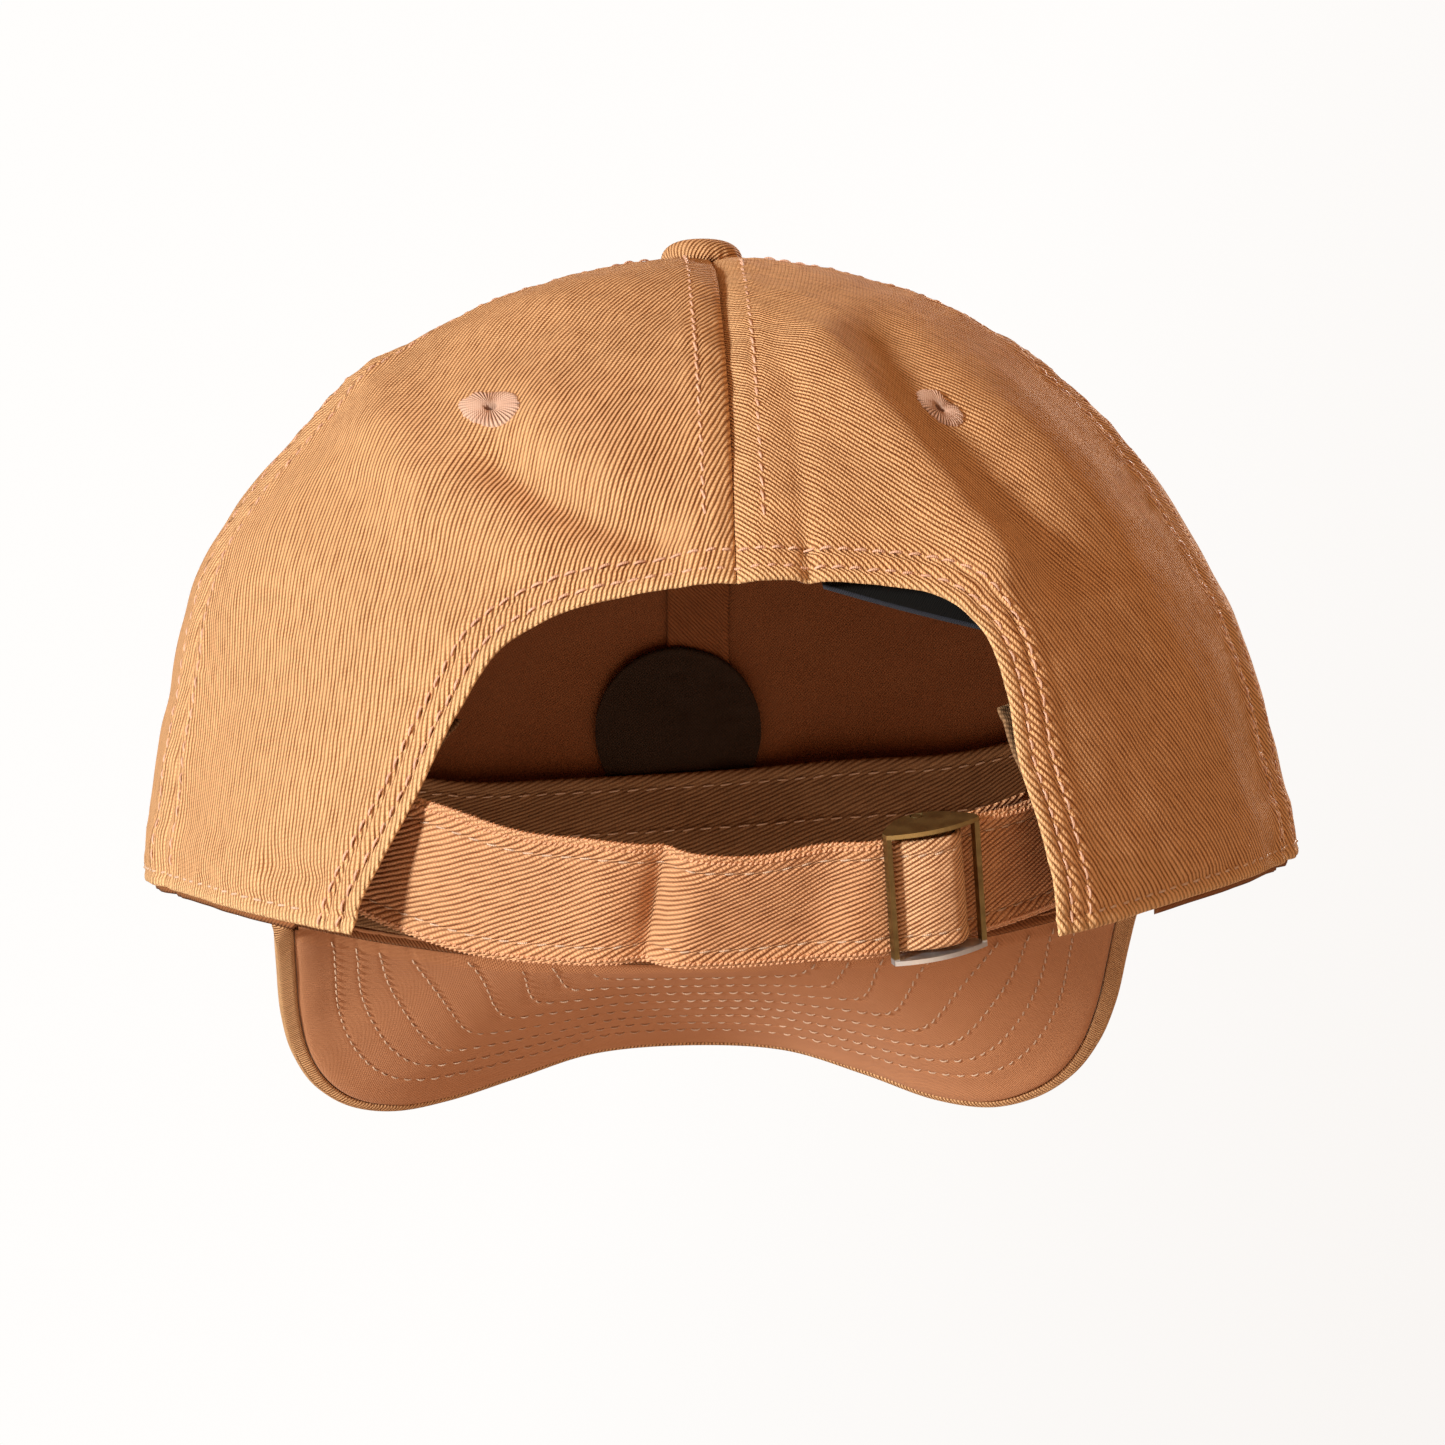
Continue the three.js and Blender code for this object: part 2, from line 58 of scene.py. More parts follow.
HALF_WIDTH = 102.5  # of the rim
HALF_DEPTH = 88.0
MEAN_RADIUS = 95.0  # to unroll the rim with
HEIGHT = 125.0
RIM_RISE = 16.0
RIM_SHARPNESS = 2.2
FULLNESS = 0.97  # 1 is an ellipsoid, less is a fuller dome
# How the soft crown leans at its sides: height, then the shift towards +X at the left and at the right.
SIDE_LEAN = [
    (0, 0, 0), (18, 0.1, 0.1), (34, -0.7, 2.2), (46, -0.6, 2.1), (58, 1.2, 2.0), (70, 2.8, 2.0),
    (82, 2.9, 1.4), (95, 2.1, 1.2), (108, 2.4, 0.8), (118, 1.0, 0.3), (125, 0, 0),
]
RIGHT_LIFT = 1.3  # how much higher the rim sits at the wearer's right
HALF_CLOTH = 0.55
MERIDIAN = 166.0  # from the rim to the top, measured over the crown
SEAM_ALLOWANCE = 5.0  # from a seam to its row of stitches
HEM_ROWS = (2.5, 5.6)  # rows of stitches round the rear opening
RIM_ROW = 2.2  # row of stitches above the rim
HALF_TAPE, TAPE_WIDTH = 0.25, 12
TAPE_DEPTH = 2.0  # from the crown's outer face to the middle of the tapes inside it

# Panels as degrees round the crown from +X: from, to, eyelet, and the twill's slant.
PANELS = {
    "left_back": (16, 90, 56, 88),
    "left_side": (-37, 16, -10, 88),
    "left_front": (-90, -37, -62, 60),
    "right_front": (-143, -90, -118, 60),
    "right_side": (-196, -143, -170, 128),
    "right_back": (90, 164, 124, 128),
}
SEAMS = {  # degrees round the crown, and the rise at which each seam starts
    "centre_back": (90, 0.6),
    "left_back": (16, 0.12),
    "left_front": (-37, 0.12),
    "centre_front": (-90, 0.12),
    "right_front": (-143, 0.12),
    "right_back": (164, 0.12),
}
EYELET_RISE = 0.756
# Half length, half width, turn in degrees, and how deep the fold at the top pushes in.
EYELET_SHAPES = {"left_back": (5.0, 3.3, -5, 0.22), "right_back": (4.7, 2.3, -38, 0.36)}
PLAIN_EYELET = (4.6, 4.4, 0, 0.0)
# hole is a share of the ring's size, and cut is the radius of the hole in the cloth under it.
EYELET = {"hole": 0.2, "strands": 40, "height": 0.85, "sunk": 2.2, "cut": 2.4}

# Edge of the rear opening seen from behind, as x, z from the left corner to the right one.
ARCH = [
    (69, -12), (64, 8), (54.5, 27), (47, 42), (39, 53), (29, 58.6), (15, 61.8), (0, 63.4),
    (-20, 63.2), (-33, 60.6), (-40.5, 54.5), (-44.5, 44), (-46.5, 32), (-50.5, 12), (-52, -12),
]

# Soft folds of the rear panels seen from behind: points x, z, then width and depth.
FOLDS = [
    ([(38, 86), (32, 81), (24, 76), (14, 72)], 5.0, 3.4),
    ([(31, 92), (20, 84)], 8.0, -1.8),
    ([(56, 92), (48, 82), (38, 72)], 6.0, -1.0),
    ([(50, 112), (28, 117), (8, 121)], 5.0, -1.0),
    ([(60, 108), (60, 92), (52, 78)], 6.0, -1.6),
    ([(30, 70), (46, 58)], 6.0, -0.8),
    ([(77, 18), (71, 15)], 2.6, 1.5),
    ([(-16, 105), (-23, 95), (-32, 82), (-43, 66)], 6.0, -2.5),
    ([(-29, 106), (-36, 95), (-45, 82), (-54, 66)], 5.0, 1.7),
    ([(-11.2, 98), (-11.6, 82), (-12, 64)], 1.8, 0.7),
    ([(-43, 64), (-47, 52), (-49.5, 38), (-51.5, 22), (-54, 6)], 11.0, -2.5),
    ([(-62, 100), (-74, 78), (-80, 58)], 7.0, 0.9),
    ([(-12, 70), (-12, 64)], 1.1, 0.7),
    ([(97, 30), (92, 52)], 7.0, 0.6),
]

VISOR_EDGE = [  # half of it, from the corner at the rim to the middle of the front
    (81.3, -59, 8), (81.4, -77, 0.5), (81.2, -97, -9.2), (79.5, -112, -16.8), (75.5, -123, -23.2),
    (69, -131, -27.2), (60.5, -137, -28.2), (50, -142, -26.4), (36, -148, -22.6), (20, -153, -18),
    (0, -155, -16.6),
]
VISOR_FROM, VISOR_TO = -143, -37
VISOR_LIFT = 1.65  # from the middle of the board to the middle of either cover
VISOR_COVER, BOARD = 0.3, 0.45  # half thicknesses of a cover and of the board
VISOR_TUCK = 2.3  # how far both covers go up inside the rim
VISOR_SAG = (0.6, 2.4)  # how much lower its corners hang than that edge, at the left and at the right
TURN_UNDER = 3.4  # how far the top cover goes on below the board
VISOR_ROWS = [15.8 + 6.35 * row for row in range(8)]  # rows of stitches, measured in from the edge

STRAP_WIDTH, STRAP_RADIUS = 20.4, 90.0
STRAP_HALF, FOLD_HALF, LOOP_HALF = 0.8, 0.55, 0.42  # half thicknesses
STRAP_TILT, STRAP_TAPER = math.radians(31), math.radians(12)
STRAP_LOWEST = (78.0, -0.5)  # y and z of its lower edge in the middle of the back
STRAP_FROM, STRAP_TO = -52, 58
# How far the strap stands in or out along its length: place, in millimetres, and offset.
STRAP_WAVES = [
    (-80, 0), (-45, 0), (-36, 0), (-30, 0.1), (-21, 0.6), (-14, -2.0), (-6, -1.0), (2, 0.7), (8.8, 2.1),
    (12, 0.6), (15.5, -3.0), (19.5, 0.1), (23.7, 1.5), (30, 1.0), (38, 1.1), (48, 1.5), (90, 1.5),
]
STRAP_ROWS = (3.0, STRAP_WIDTH - 3.0)  # rows of stitches along it
# How far its fold stands out across the buckle's window, from the left wall to the right one.
STRAP_FOLD = [(0, 0.4), (0.1, 1.3), (0.3, 2.3), (0.5, 3.0), (0.68, 3.1), (0.85, 2.2), (0.95, 0.6), (1, -0.6)]
BUCKLE_AROUND = math.radians(-21)
# The last key is where its brighter ends start, up and down from its middle: painted highlights where the
# plates catch the light.
BUCKLE = {"half_width": 8.5, "bar_depth": 4.0, "painted_highlight": 10.6}

# stand_off and end_rise are how far its loose ends come inwards and up. cut is its width laid flat.
SWEATBAND = {"inset": 4.2, "height": 36.0, "stand_off": 15.5, "end_rise": 8.5, "cut": 40.0}
BAND_ROWS = (3.0, 11.5)  # rows of stitches below its top edge
HALF_BAND, HALF_PATCH, HALF_SELVEDGE = 0.45, 0.28, 0.36  # half thicknesses; the label's is the patch's
BAND_ENDS = (-1.4, -4.2)  # how far its left and right ends show inside the opening's edge
# How much higher than that the band's front edge stands: x, and height.
BAND_TOP = [(-90, -1.5), (-57.5, -0.6), (-28.8, 2.0), (0, 1.4), (25, -0.4), (50, -3.6), (90, -4)]
LABEL = {"x": -15.0, "z": 62.6, "width": 46.0, "height": 26.0, "turn": 14.5, "inset": 4.8}
PATCH = {"x": 4.0, "z": 43.4, "radius": 16.0, "inset": 3.0}

# ---------------------------------------------------------------- shared maths


def mix(a, b, share):
    return a + (b - a) * share


def smoothstep(values, low, high):
    share = np.clip((values - low) / (high - low), 0, 1)
    return share * share * (3 - 2 * share)


def bell(values, height, width, middle=0.0):
    """A smooth hump: height at the middle, and about a third of that at width to either side."""
    return height * np.exp(-(((values - middle) / width) ** 2))


def unit(vectors):
    return vectors / np.maximum(np.linalg.norm(vectors, axis=-1, keepdims=True), 1e-9)


def along_of(points):
    """Distance of each point along the line that they make."""
    steps = np.linalg.norm(np.diff(points, axis=0), axis=-1)
    return np.concatenate([[0], np.cumsum(steps)])


def at_lengths(points, lengths):
    """Points at the given distances along a line."""
    along = along_of(points)
    return np.stack([np.interp(lengths, along, points[:, k]) for k in range(points.shape[1])], axis=-1)


def smooth_curve(points, steps=24):
    """A centripetal Catmull-Rom curve through points."""
    points = np.array(points, float)
    ends = np.vstack([2 * points[0] - points[1], points, 2 * points[-1] - points[-2]])
    t = np.linspace(0, 1, steps, endpoint=False)[:, None]
    curve = []
    for before, start, stop, after in zip(ends, ends[1:], ends[2:], ends[3:]):
        corners = (before, start, stop, after)
        gap0, gap1, gap2 = (max(np.linalg.norm(b - a) ** 0.5, 1e-6) for a, b in zip(corners, corners[1:]))
        leave = (start - before) / gap0 - (stop - before) / (gap0 + gap1) + (stop - start) / gap1
        arrive = (stop - start) / gap1 - (after - start) / (gap1 + gap2) + (after - stop) / gap2
        curve.append(
            start * (2 * t**3 - 3 * t**2 + 1)
            + leave * gap1 * (t**3 - 2 * t**2 + t)
            + stop * (3 * t**2 - 2 * t**3)
            + arrive * gap1 * (t**3 - t**2)
        )
    return np.vstack([*curve, points[-1:]])


def ripple(points, size, seed, waves=14):
    """Smooth random heights of about -1 to 1 that change over about size millimetres."""
    draw = np.random.default_rng(seed)
    total = np.zeros(points.shape[:-1])
    for _ in range(waves):
        direction = unit(draw.normal(size=3))
        length = size * draw.uniform(0.8, 1.8)
        total += np.sin(points @ direction * (TURN / length) + draw.uniform(0, TURN))
    return total / math.sqrt(waves)


def distance_to(points, line, most=90, block=4000):
    """Distance from each point to the nearest of a line's straight pieces, of which most are kept."""
    line = line[np.linspace(0, len(line) - 1, min(len(line), most)).round().astype(int)]
    start, step = line[:-1], np.diff(line, axis=0)
    square = (step**2).sum(-1)
    flat = points.reshape(-1, points.shape[-1])
    nearest = np.empty(len(flat))
    for first in range(0, len(flat), block):
        gap = flat[first:first + block, None, :] - start
        share = np.clip((gap * step).sum(-1) / square, 0, 1)
        gap = gap - share[..., None] * step
        nearest[first:first + block] = np.sqrt((gap**2).sum(-1).min(1))
    return nearest.reshape(points.shape[:-1])


def spacing(length, step, fine=0.18, rows=5):
    """Shares from 0 to 1 about step apart, closer together near both ends."""
    near = fine * np.cumsum(np.arange(1, rows)) / length
    middle = np.linspace(near[-1], 1 - near[-1], max(2, round(length / step)))
    return np.concatenate([[0], near[:-1], middle, 1 - near[:-1][::-1], [1]])


# ---------------------------------------------------------------- crown surface

LEAN_CURVE = smooth_curve(SIDE_LEAN)


def rim_height(angle):
    """Height of the rim: it climbs at the sides, and a little more at the wearer's right."""
    lift = RIGHT_LIFT * smoothstep(-np.cos(angle), 0.45, 0.8)
    return RIM_RISE * np.abs(np.cos(angle)) ** RIM_SHARPNESS + lift


def dome_spread(rise):
    """How wide the crown is at a rise, as a share of its width at the rim."""
    return (1 - np.clip(rise, 0, 1) ** (2 / FULLNESS)) ** (FULLNESS / 2)


def dome_point(angle, rise, inset=0.0):
    """The plain crown's point at an angle round from +X and a rise, inset below its outer face."""
    angle, rise, inset = np.broadcast_arrays(*(np.asarray(a, float) for a in (angle, rise, inset)))
    rim, spread = rim_height(angle), dome_spread(rise)
    z = rim + (HEIGHT - inset - rim) * rise
    left, right = (np.interp(z, LEAN_CURVE[:, 0], LEAN_CURVE[:, side]) for side in (1, 2))
    lean = np.where(np.cos(angle) > 0, left, right) * np.abs(np.cos(angle)) ** 1.5
    x = (HALF_WIDTH - inset) * np.cos(angle) * spread + lean
    y = (HALF_DEPTH - inset) * np.sin(angle) * spread
    return np.stack([x, y, z], axis=-1)


def dome_where(x, z, inset, side):
    """Angle and rise of the crown's point straight behind (side 1) or in front (side -1) of x, z."""
    x, z = np.asarray(x, float), np.asarray(z, float)
    angle = np.full(x.shape, side * math.pi / 2)
    for _ in range(25):
        rim = rim_height(angle)
        rise = (z - rim) / (HEIGHT - inset - rim)
        angle = side * np.arccos(np.clip(x / ((HALF_WIDTH - inset) * dome_spread(rise)), -1, 1))
    return angle, rise


def rise_of(share):
    """Rise at an even pace up the crown: share is 0 at the rim and 1 at the top."""
    return np.sin(np.clip(share, 0, 1) * math.pi / 2) ** FULLNESS


def share_of(rise):
    """The share of the way up the crown at a rise: rise_of turned round."""
    return 2 / math.pi * np.arcsin(np.clip(rise, 0, 1) ** (1 / FULLNESS))


def round_scale(angle, rise):
    """Millimetres covered on the crown for each radian round it."""
    return np.hypot(HALF_WIDTH * np.sin(angle), HALF_DEPTH * np.cos(angle)) * dome_spread(rise)


def dome_normal(angle, rise):
    """The plain crown's outward direction."""
    step = 1e-3
    rise = np.clip(rise, 0.001, 0.995)
    here = dome_point(angle, rise)
    turned = dome_point(angle + step, rise) - here
    climbed = dome_point(angle, rise + step) - here
    return unit(np.cross(turned, climbed))


def arch_line(margin, start=0.0, end=1.0, count=400):
    """x, z along the rear opening, widened by margin."""
    curve = smooth_curve(ARCH)
    length = along_of(curve)[-1]
    lengths = np.linspace(start * length, end * length, count)
    step = 0.2
    tangent = unit(at_lengths(curve, lengths + step) - at_lengths(curve, lengths - step))
    return at_lengths(curve, lengths) + np.stack([tangent[:, 1], -tangent[:, 0]], -1) * margin


def arch_places(margin, count=400):
    """Angle and rise along the rear opening, from its left corner at the rim to the right one."""
    line = arch_line(margin, count=count)
    angle, rise = dome_where(line[:, 0], line[:, 1], HALF_CLOTH, 1)
    kept = rise >= 0
    return angle[kept], rise[kept]


ARCH_ON_CROWN = dome_point(*arch_places(0, 120), HALF_CLOTH)
SEAM_ANGLES = np.radians([angle for angle, _ in SEAMS.values()])


def from_seam(angle, rise):
    """Distance to the nearest seam, measured round the crown."""
    away = np.abs((angle[..., None] - SEAM_ANGLES + math.pi) % TURN - math.pi).min(-1)
    return away * round_scale(angle, rise)


def seam_relief(points, angle, seam, rim):
    """Each seam: a valley between two ridges of turned-in cloth, with a row of stitches on each ridge."""
    near_top = smoothstep(rim, MERIDIAN - 26, MERIDIAN - 10)
    ridges = bell(seam, height=0.45, width=2.4, middle=SEAM_ALLOWANCE)
    valley = bell(seam, height=0.6, width=2.2)
    crease = bell(seam, height=0.35, width=0.5)
    sewn = bell(seam, height=0.45, width=0.5, middle=SEAM_ALLOWANCE)
    puckers = ripple(points, 3.6, 5) * bell(seam, height=0.14, width=4, middle=SEAM_ALLOWANCE)
    past_centre = smoothstep(angle, math.pi / 2 - 0.01, math.pi / 2 + 0.01) * (angle < math.radians(127))
    slack = past_centre * smoothstep(rim, 60, 90) * bell(seam, height=1.2, width=10.0)
    return (ridges - valley) * (1 - 0.5 * near_top) - crease + puckers - (slack + sewn) * (1 - near_top)


def rim_relief(points, rim):
    """The thicker turned-in rim, and the row of stitches just above its edge."""
    hem = 0.3 * (1 - smoothstep(rim, 8.5, 10.5))
    puckers = ripple(points, 5, 6) * bell(rim, height=0.16, width=4, middle=RIM_ROW)
    return hem - bell(rim, height=0.4, width=0.6, middle=RIM_ROW) + puckers


def opening_relief(points, arch):
    """The hem of the rear opening with its two rows of stitches."""
    hem = 0.35 * (1 - smoothstep(arch, 7.5, 9.5))
    sewn = sum(bell(arch, height=0.5, width=0.5, middle=row) for row in HEM_ROWS)
    return hem - sewn + ripple(points, 4.2, 7) * bell(arch, height=0.16, width=4, middle=3)


def fold_depth(points):
    """How deep the soft folds of the rear panels go. They fade out towards the front."""
    seen_from_behind = points[..., [0, 2]]
    folds = [
        bell(distance_to(seen_from_behind, np.array(line, float)), depth, width)
        for line, width, depth in FOLDS
    ]
    return smoothstep(points[..., 1], 2, 14) * sum(folds)


def crown_relief(angle, rise):
    """How far the crown's cloth stands out from its plain dome: seams, hems, stitches and folds."""
    points = dome_point(angle, rise, HALF_CLOTH)
    rim = share_of(rise) * MERIDIAN
    soft = 0.5 * ripple(points, 34, 3) + 0.12 * ripple(points, 9, 4)
    sewn = seam_relief(points, angle, from_seam(angle, rise), rim) + rim_relief(points, rim)
    return soft + sewn + opening_relief(points, distance_to(points, ARCH_ON_CROWN)) - fold_depth(points)


def crown_surface(angle, rise, lift=0.0):
    """Points of the crown's outer face, lifted by lift, and its plain normals."""
    normal = dome_normal(angle, rise)
    height = (crown_relief(angle, rise) + HALF_CLOTH + lift)[..., None]
    return dome_point(angle, rise, HALF_CLOTH) + normal * height, normal


def lining_surface(angle, rise, depth):
    """Points of a layer inside the crown, depth below its outer face. It bridges the front seams."""
    angle, rise = np.broadcast_arrays(angle, rise)
    relief = crown_relief(angle, rise)
    deepest_in_front = -0.5
    relief = np.where(np.sin(angle) < 0, np.maximum(relief, deepest_in_front), relief)
    offset = (relief + HALF_CLOTH - depth)[..., None]
    return dome_point(angle, rise, HALF_CLOTH) + dome_normal(angle, rise) * offset


# ---------------------------------------------------------------- mesh builders


def new_piece(name, body, points, faces, materials, uv=None, inner_faces=0, wear=None):
    """A smooth mesh in metres that rides on body. The last inner_faces faces take the second material."""
    mesh = bpy.data.meshes.new(name)
    mesh.from_pydata((points * MM).tolist(), [], [list(map(int, face)) for face in faces])
    for material in materials:
        mesh.materials.append(material)
    if uv is not None:
        corner = np.zeros(len(mesh.loops), np.int32)
        mesh.loops.foreach_get("vertex_index", corner)
        mesh.uv_layers.new(name="Cloth").data.foreach_set("uv", uv[corner].astype(np.float32).ravel())
    # The wear attribute holds real wear on twill pieces, and painted shade between an eyelet's strands.
    if wear is not None:
        mesh.attributes.new("Wear_and_gap_shade", "FLOAT", "POINT").data.foreach_set("value", wear.astype(np.float32))
    mesh.polygons.foreach_set("use_smooth", np.ones(len(mesh.polygons), bool))
    if inner_faces and len(materials) > 1:
        index = np.zeros(len(mesh.polygons), np.int32)
        index[-inner_faces:] = 1
        mesh.polygons.foreach_set("material_index", index)
    mesh.validate()
    piece = bpy.data.objects.new(name, mesh)
    bpy.context.scene.collection.objects.link(piece)
    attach(piece, body)
    return piece


def grid_faces(rows, columns, closed=False):
    """The four corners of each face of a grid of points. closed joins its last column to its first."""
    across = columns if closed else columns - 1
    row, column = np.meshgrid(np.arange(rows - 1), np.arange(across), indexing="ij")
    after = (column + 1) % columns
    low, high = row * columns, (row + 1) * columns
    corners = (low + column, low + after, high + after, high + column)
    return np.stack([c.ravel() for c in corners], axis=-1)


def grid_normals(grid, away_from):
    """A grid's normals, on the side that faces away from a place."""
    normal = unit(np.cross(np.gradient(grid, axis=0), np.gradient(grid, axis=1)))
    outward = np.sum(normal * (grid - np.array(away_from, float)), axis=-1)
    return normal if outward.mean() > 0 else -normal


def from_border(grid):
    """Distance from each point of a grid to the grid's nearest side, along its rows and columns."""
    nearest = []
    for axis in (0, 1):
        steps = np.linalg.norm(np.diff(grid, axis=axis), axis=-1)
        start = np.insert(np.cumsum(steps, axis=axis), 0, 0, axis=axis)
        total = np.take(start, [-1], axis=axis)
        nearest += [start, total - start]
    return np.minimum.reduce(nearest)


def cloth_piece(name, body, middle, half, uv, materials, away_from, hole=None, wear=None):
    """A closed sheet of cloth: a grid of its middle surface, half its thickness and its flat pattern.

    Its border is rounded. hole is the centre and the radius of a hole through it."""
    rows, columns = middle.shape[:2]
    normal = grid_normals(middle, away_from)
    rounding = np.sqrt(1 - (1 - np.clip(from_border(middle) / (half * 1.3), 0, 1)) ** 2)
    offset = normal * (half * rounding)[..., None]
    count = rows * columns
    inner = np.arange(count).reshape(rows, columns)
    inner[1:-1, 1:-1] += count
    used = np.unique(inner[inner >= count])
    inner[1:-1, 1:-1] = np.searchsorted(used, inner[1:-1, 1:-1]) + count
    points = np.vstack([(middle + offset).reshape(-1, 3), (middle - offset)[1:-1, 1:-1].reshape(-1, 3)])
    patterns = np.vstack([uv.reshape(-1, 2), uv[1:-1, 1:-1].reshape(-1, 2)])
    if wear is not None:
        wear = np.concatenate([wear.ravel(), wear[1:-1, 1:-1].ravel() * 0.3])
    faces = grid_faces(rows, columns)
    if hole is not None:
        centre, radius = hole
        middles = middle.reshape(-1, 3)[faces].mean(1)
        faces = faces[np.linalg.norm(middles - centre, axis=1) > radius]
    a, b, c = (middle.reshape(-1, 3)[faces[:, k]] for k in range(3))
    facing = np.sum(np.cross(b - a, c - a) * normal.reshape(-1, 3)[faces[:, 0]], axis=-1)
    if facing.sum() < 0:
        faces = faces[:, ::-1]
    under = inner.ravel()[faces][:, ::-1]
    faces = np.vstack([faces, under])
    return new_piece(name, body, points, faces, materials, patterns, len(under), wear)


STITCHES = {  # length, pause and radius in millimetres, how far they lean, and a seed
    "crown_seam_stitching": (2.7, 0.15, 0.26, 0.55, 1),
    "opening_stitching": (2.6, 0.4, 0.27, 0.25, 2),
    "rim_stitching": (2.2, 0.9, 0.24, 0.25, 3),
    "sweatband_stitching": (2.6, 1.0, 0.2, 0.25, 4),
    "visor_top_stitching": (2.1, 1.0, 0.19, 0.25, 6),
    "visor_bottom_stitching": (2.1, 1.0, 0.19, 0.25, 4),
    "strap_stitching": (2.4, 0.9, 0.17, 0.25, 8),
    "strap_corded_edges": (1.15, -0.25, 0.25, 0.6, 11),
    "buckle_fold_stitching": (2.2, 0.8, 0.17, 0.25, 9),
}
STITCH_SECTIONS, STITCH_SIDES = 6, 6
STITCH_UNEVEN = {"place": 0.08, "lean": 0.12}  # how much the stitches vary, in millimetres
STITCH_ARCH, STITCH_SUNK = 2.3, 1.1  # how far the middle stands up and the ends go in, in radii
STITCH_FLATNESS = 0.8


def stitches(name, body, rows, material):
    """One mesh with every stitch of the rows: each row is a line of points and their normals."""
    length, pause, radius, lean, seed = STITCHES[name]
    draw = np.random.default_rng(seed)
    share = np.linspace(0, 1, STITCH_SECTIONS)
    around = np.linspace(0, TURN, STITCH_SIDES, endpoint=False)
    taper = np.sin(math.pi * (0.12 + 0.76 * share)) ** 0.5
    points, faces, start = [], [], 0
    for line, normals in rows:
        along = along_of(line)
        count = int((along[-1] - pause) // (length + pause))
        if count < 1:
            continue
        begin = np.arange(count) * (length + pause) + pause
        where = begin[:, None] + draw.normal(0, STITCH_UNEVEN["place"], (count, 1)) + share * length
        spots = np.stack([np.interp(where, along, line[:, k]) for k in range(3)], -1)
        normal = unit(np.stack([np.interp(where, along, normals[:, k]) for k in range(3)], -1))
        tangent = unit(np.gradient(spots, axis=1))
        side = unit(np.cross(normal, tangent))
        slant = draw.normal(lean, STITCH_UNEVEN["lean"], (count, 1, 1)) * (share - 0.5)[None, :, None]
        lift = radius * (STITCH_ARCH * np.sin(math.pi * share) ** 0.7 - STITCH_SUNK)
        centre = spots + side * slant + normal * lift[None, :, None]
        ring = (
            side[:, :, None, :] * np.cos(around)[None, None, :, None]
            + normal[:, :, None, :] * np.sin(around)[None, None, :, None] * STITCH_FLATNESS
        )
        points.append((centre[:, :, None, :] + ring * (radius * taper)[None, :, None, None]).reshape(-1, 3))
        tube = grid_faces(STITCH_SECTIONS, STITCH_SIDES, closed=True)[:, ::-1]
        size = STITCH_SECTIONS * STITCH_SIDES
        for _ in range(count):
            faces += (tube + start).tolist()
            faces.append(list(range(start, start + STITCH_SIDES)))
            start += size
            faces.append(list(range(start - 1, start - 1 - STITCH_SIDES, -1)))
    new_piece(name, body, np.vstack(points), faces, [material])


# ---------------------------------------------------------------- materials


class Nodes:
    """Builds a material's node tree around its Principled shader."""

    def __init__(self, name, roughness=0.9, metallic=0.0, **inputs):
        self.material = bpy.data.materials.new(name)
        self.material.use_nodes = True
        self.tree = self.material.node_tree
        self.shader = self.tree.nodes["Principled BSDF"]
        for socket, value in {"Roughness": roughness, "Metallic": metallic, **inputs}.items():
            self.shader.inputs[socket].default_value = value

    def node(self, kind, inputs=(), **settings):
        made = self.tree.nodes.new(kind)
        for name, value in settings.items():
            setattr(made, name, value)
        for socket, value in dict(inputs).items():
            if isinstance(value, bpy.types.NodeSocket):
                self.tree.links.new(value, made.inputs[socket])
            else:
                made.inputs[socket].default_value = value
        return made

    def math(self, operation, a, b=0.0, c=0.0):
        return self.node("ShaderNodeMath", {0: a, 1: b, 2: c}, operation=operation).outputs[0]

    def mix(self, factor, a, b, blend="MIX"):
        made = self.node("ShaderNodeMix", {0: factor, 6: a, 7: b}, data_type="RGBA", blend_type=blend)
        return made.outputs[2]

    def pattern(self, degrees):
        """The flat pattern's coordinates in millimetres, turned so that x runs along degrees."""
        plain = self.node("ShaderNodeUVMap", uv_map="Cloth").outputs["UV"]
        return self.node(
            "ShaderNodeMapping", {"Vector": plain, "Rotation": (0, 0, -math.radians(degrees))}
        ).outputs["Vector"]

    def noise(self, vector, scale, detail, stretch=(1, 1, 1)):
        placed = self.node("ShaderNodeMapping", {"Vector": vector, "Scale": stretch}).outputs["Vector"]
        settings = {"Vector": placed, "Scale": scale, "Detail": detail, "Roughness": 0.5}
        return self.node("ShaderNodeTexNoise", settings).outputs["Fac"]

    def ramp(self, factor, stops):
        made = self.node("ShaderNodeValToRGB", {"Fac": factor})
        ramp = made.color_ramp
        for place, colour in stops[1:-1]:
            ramp.elements.new(place).color = (*colour, 1)
        ramp.elements[0].position, ramp.elements[0].color = stops[0][0], (*stops[0][1], 1)
        ramp.elements[-1].position, ramp.elements[-1].color = stops[-1][0], (*stops[-1][1], 1)
        return made.outputs["Color"]

    def finish(self, colour, height, depth, roughness=None):
        """Joins a colour, and a height from 0 to 1 that stands for depth millimetres of relief."""
        self.tree.links.new(colour, self.shader.inputs["Base Color"])
        if roughness is not None:
            self.tree.links.new(roughness, self.shader.inputs["Roughness"])
        bump = self.node("ShaderNodeBump", {"Height": height, "Distance": depth * MM, "Strength": 1.0})
        self.tree.links.new(bump.outputs["Normal"], self.shader.inputs["Normal"])
        return self.material


def opaque(colour, factor=1.0):
    """A colour times a factor, with its alpha of 1."""
    return tuple(factor * part for part in colour) + (1,)


# How twill's yarns lie: wander is how far its wales stray, in millimetres, and the rest are shares.
YARN = {
    "wander": 0.9, "sharpness": 1.15, "slope": 0.55, "shift": 0.37, "rate": 1.25, "dip": 0.38, "fuzz": 0.30,
}


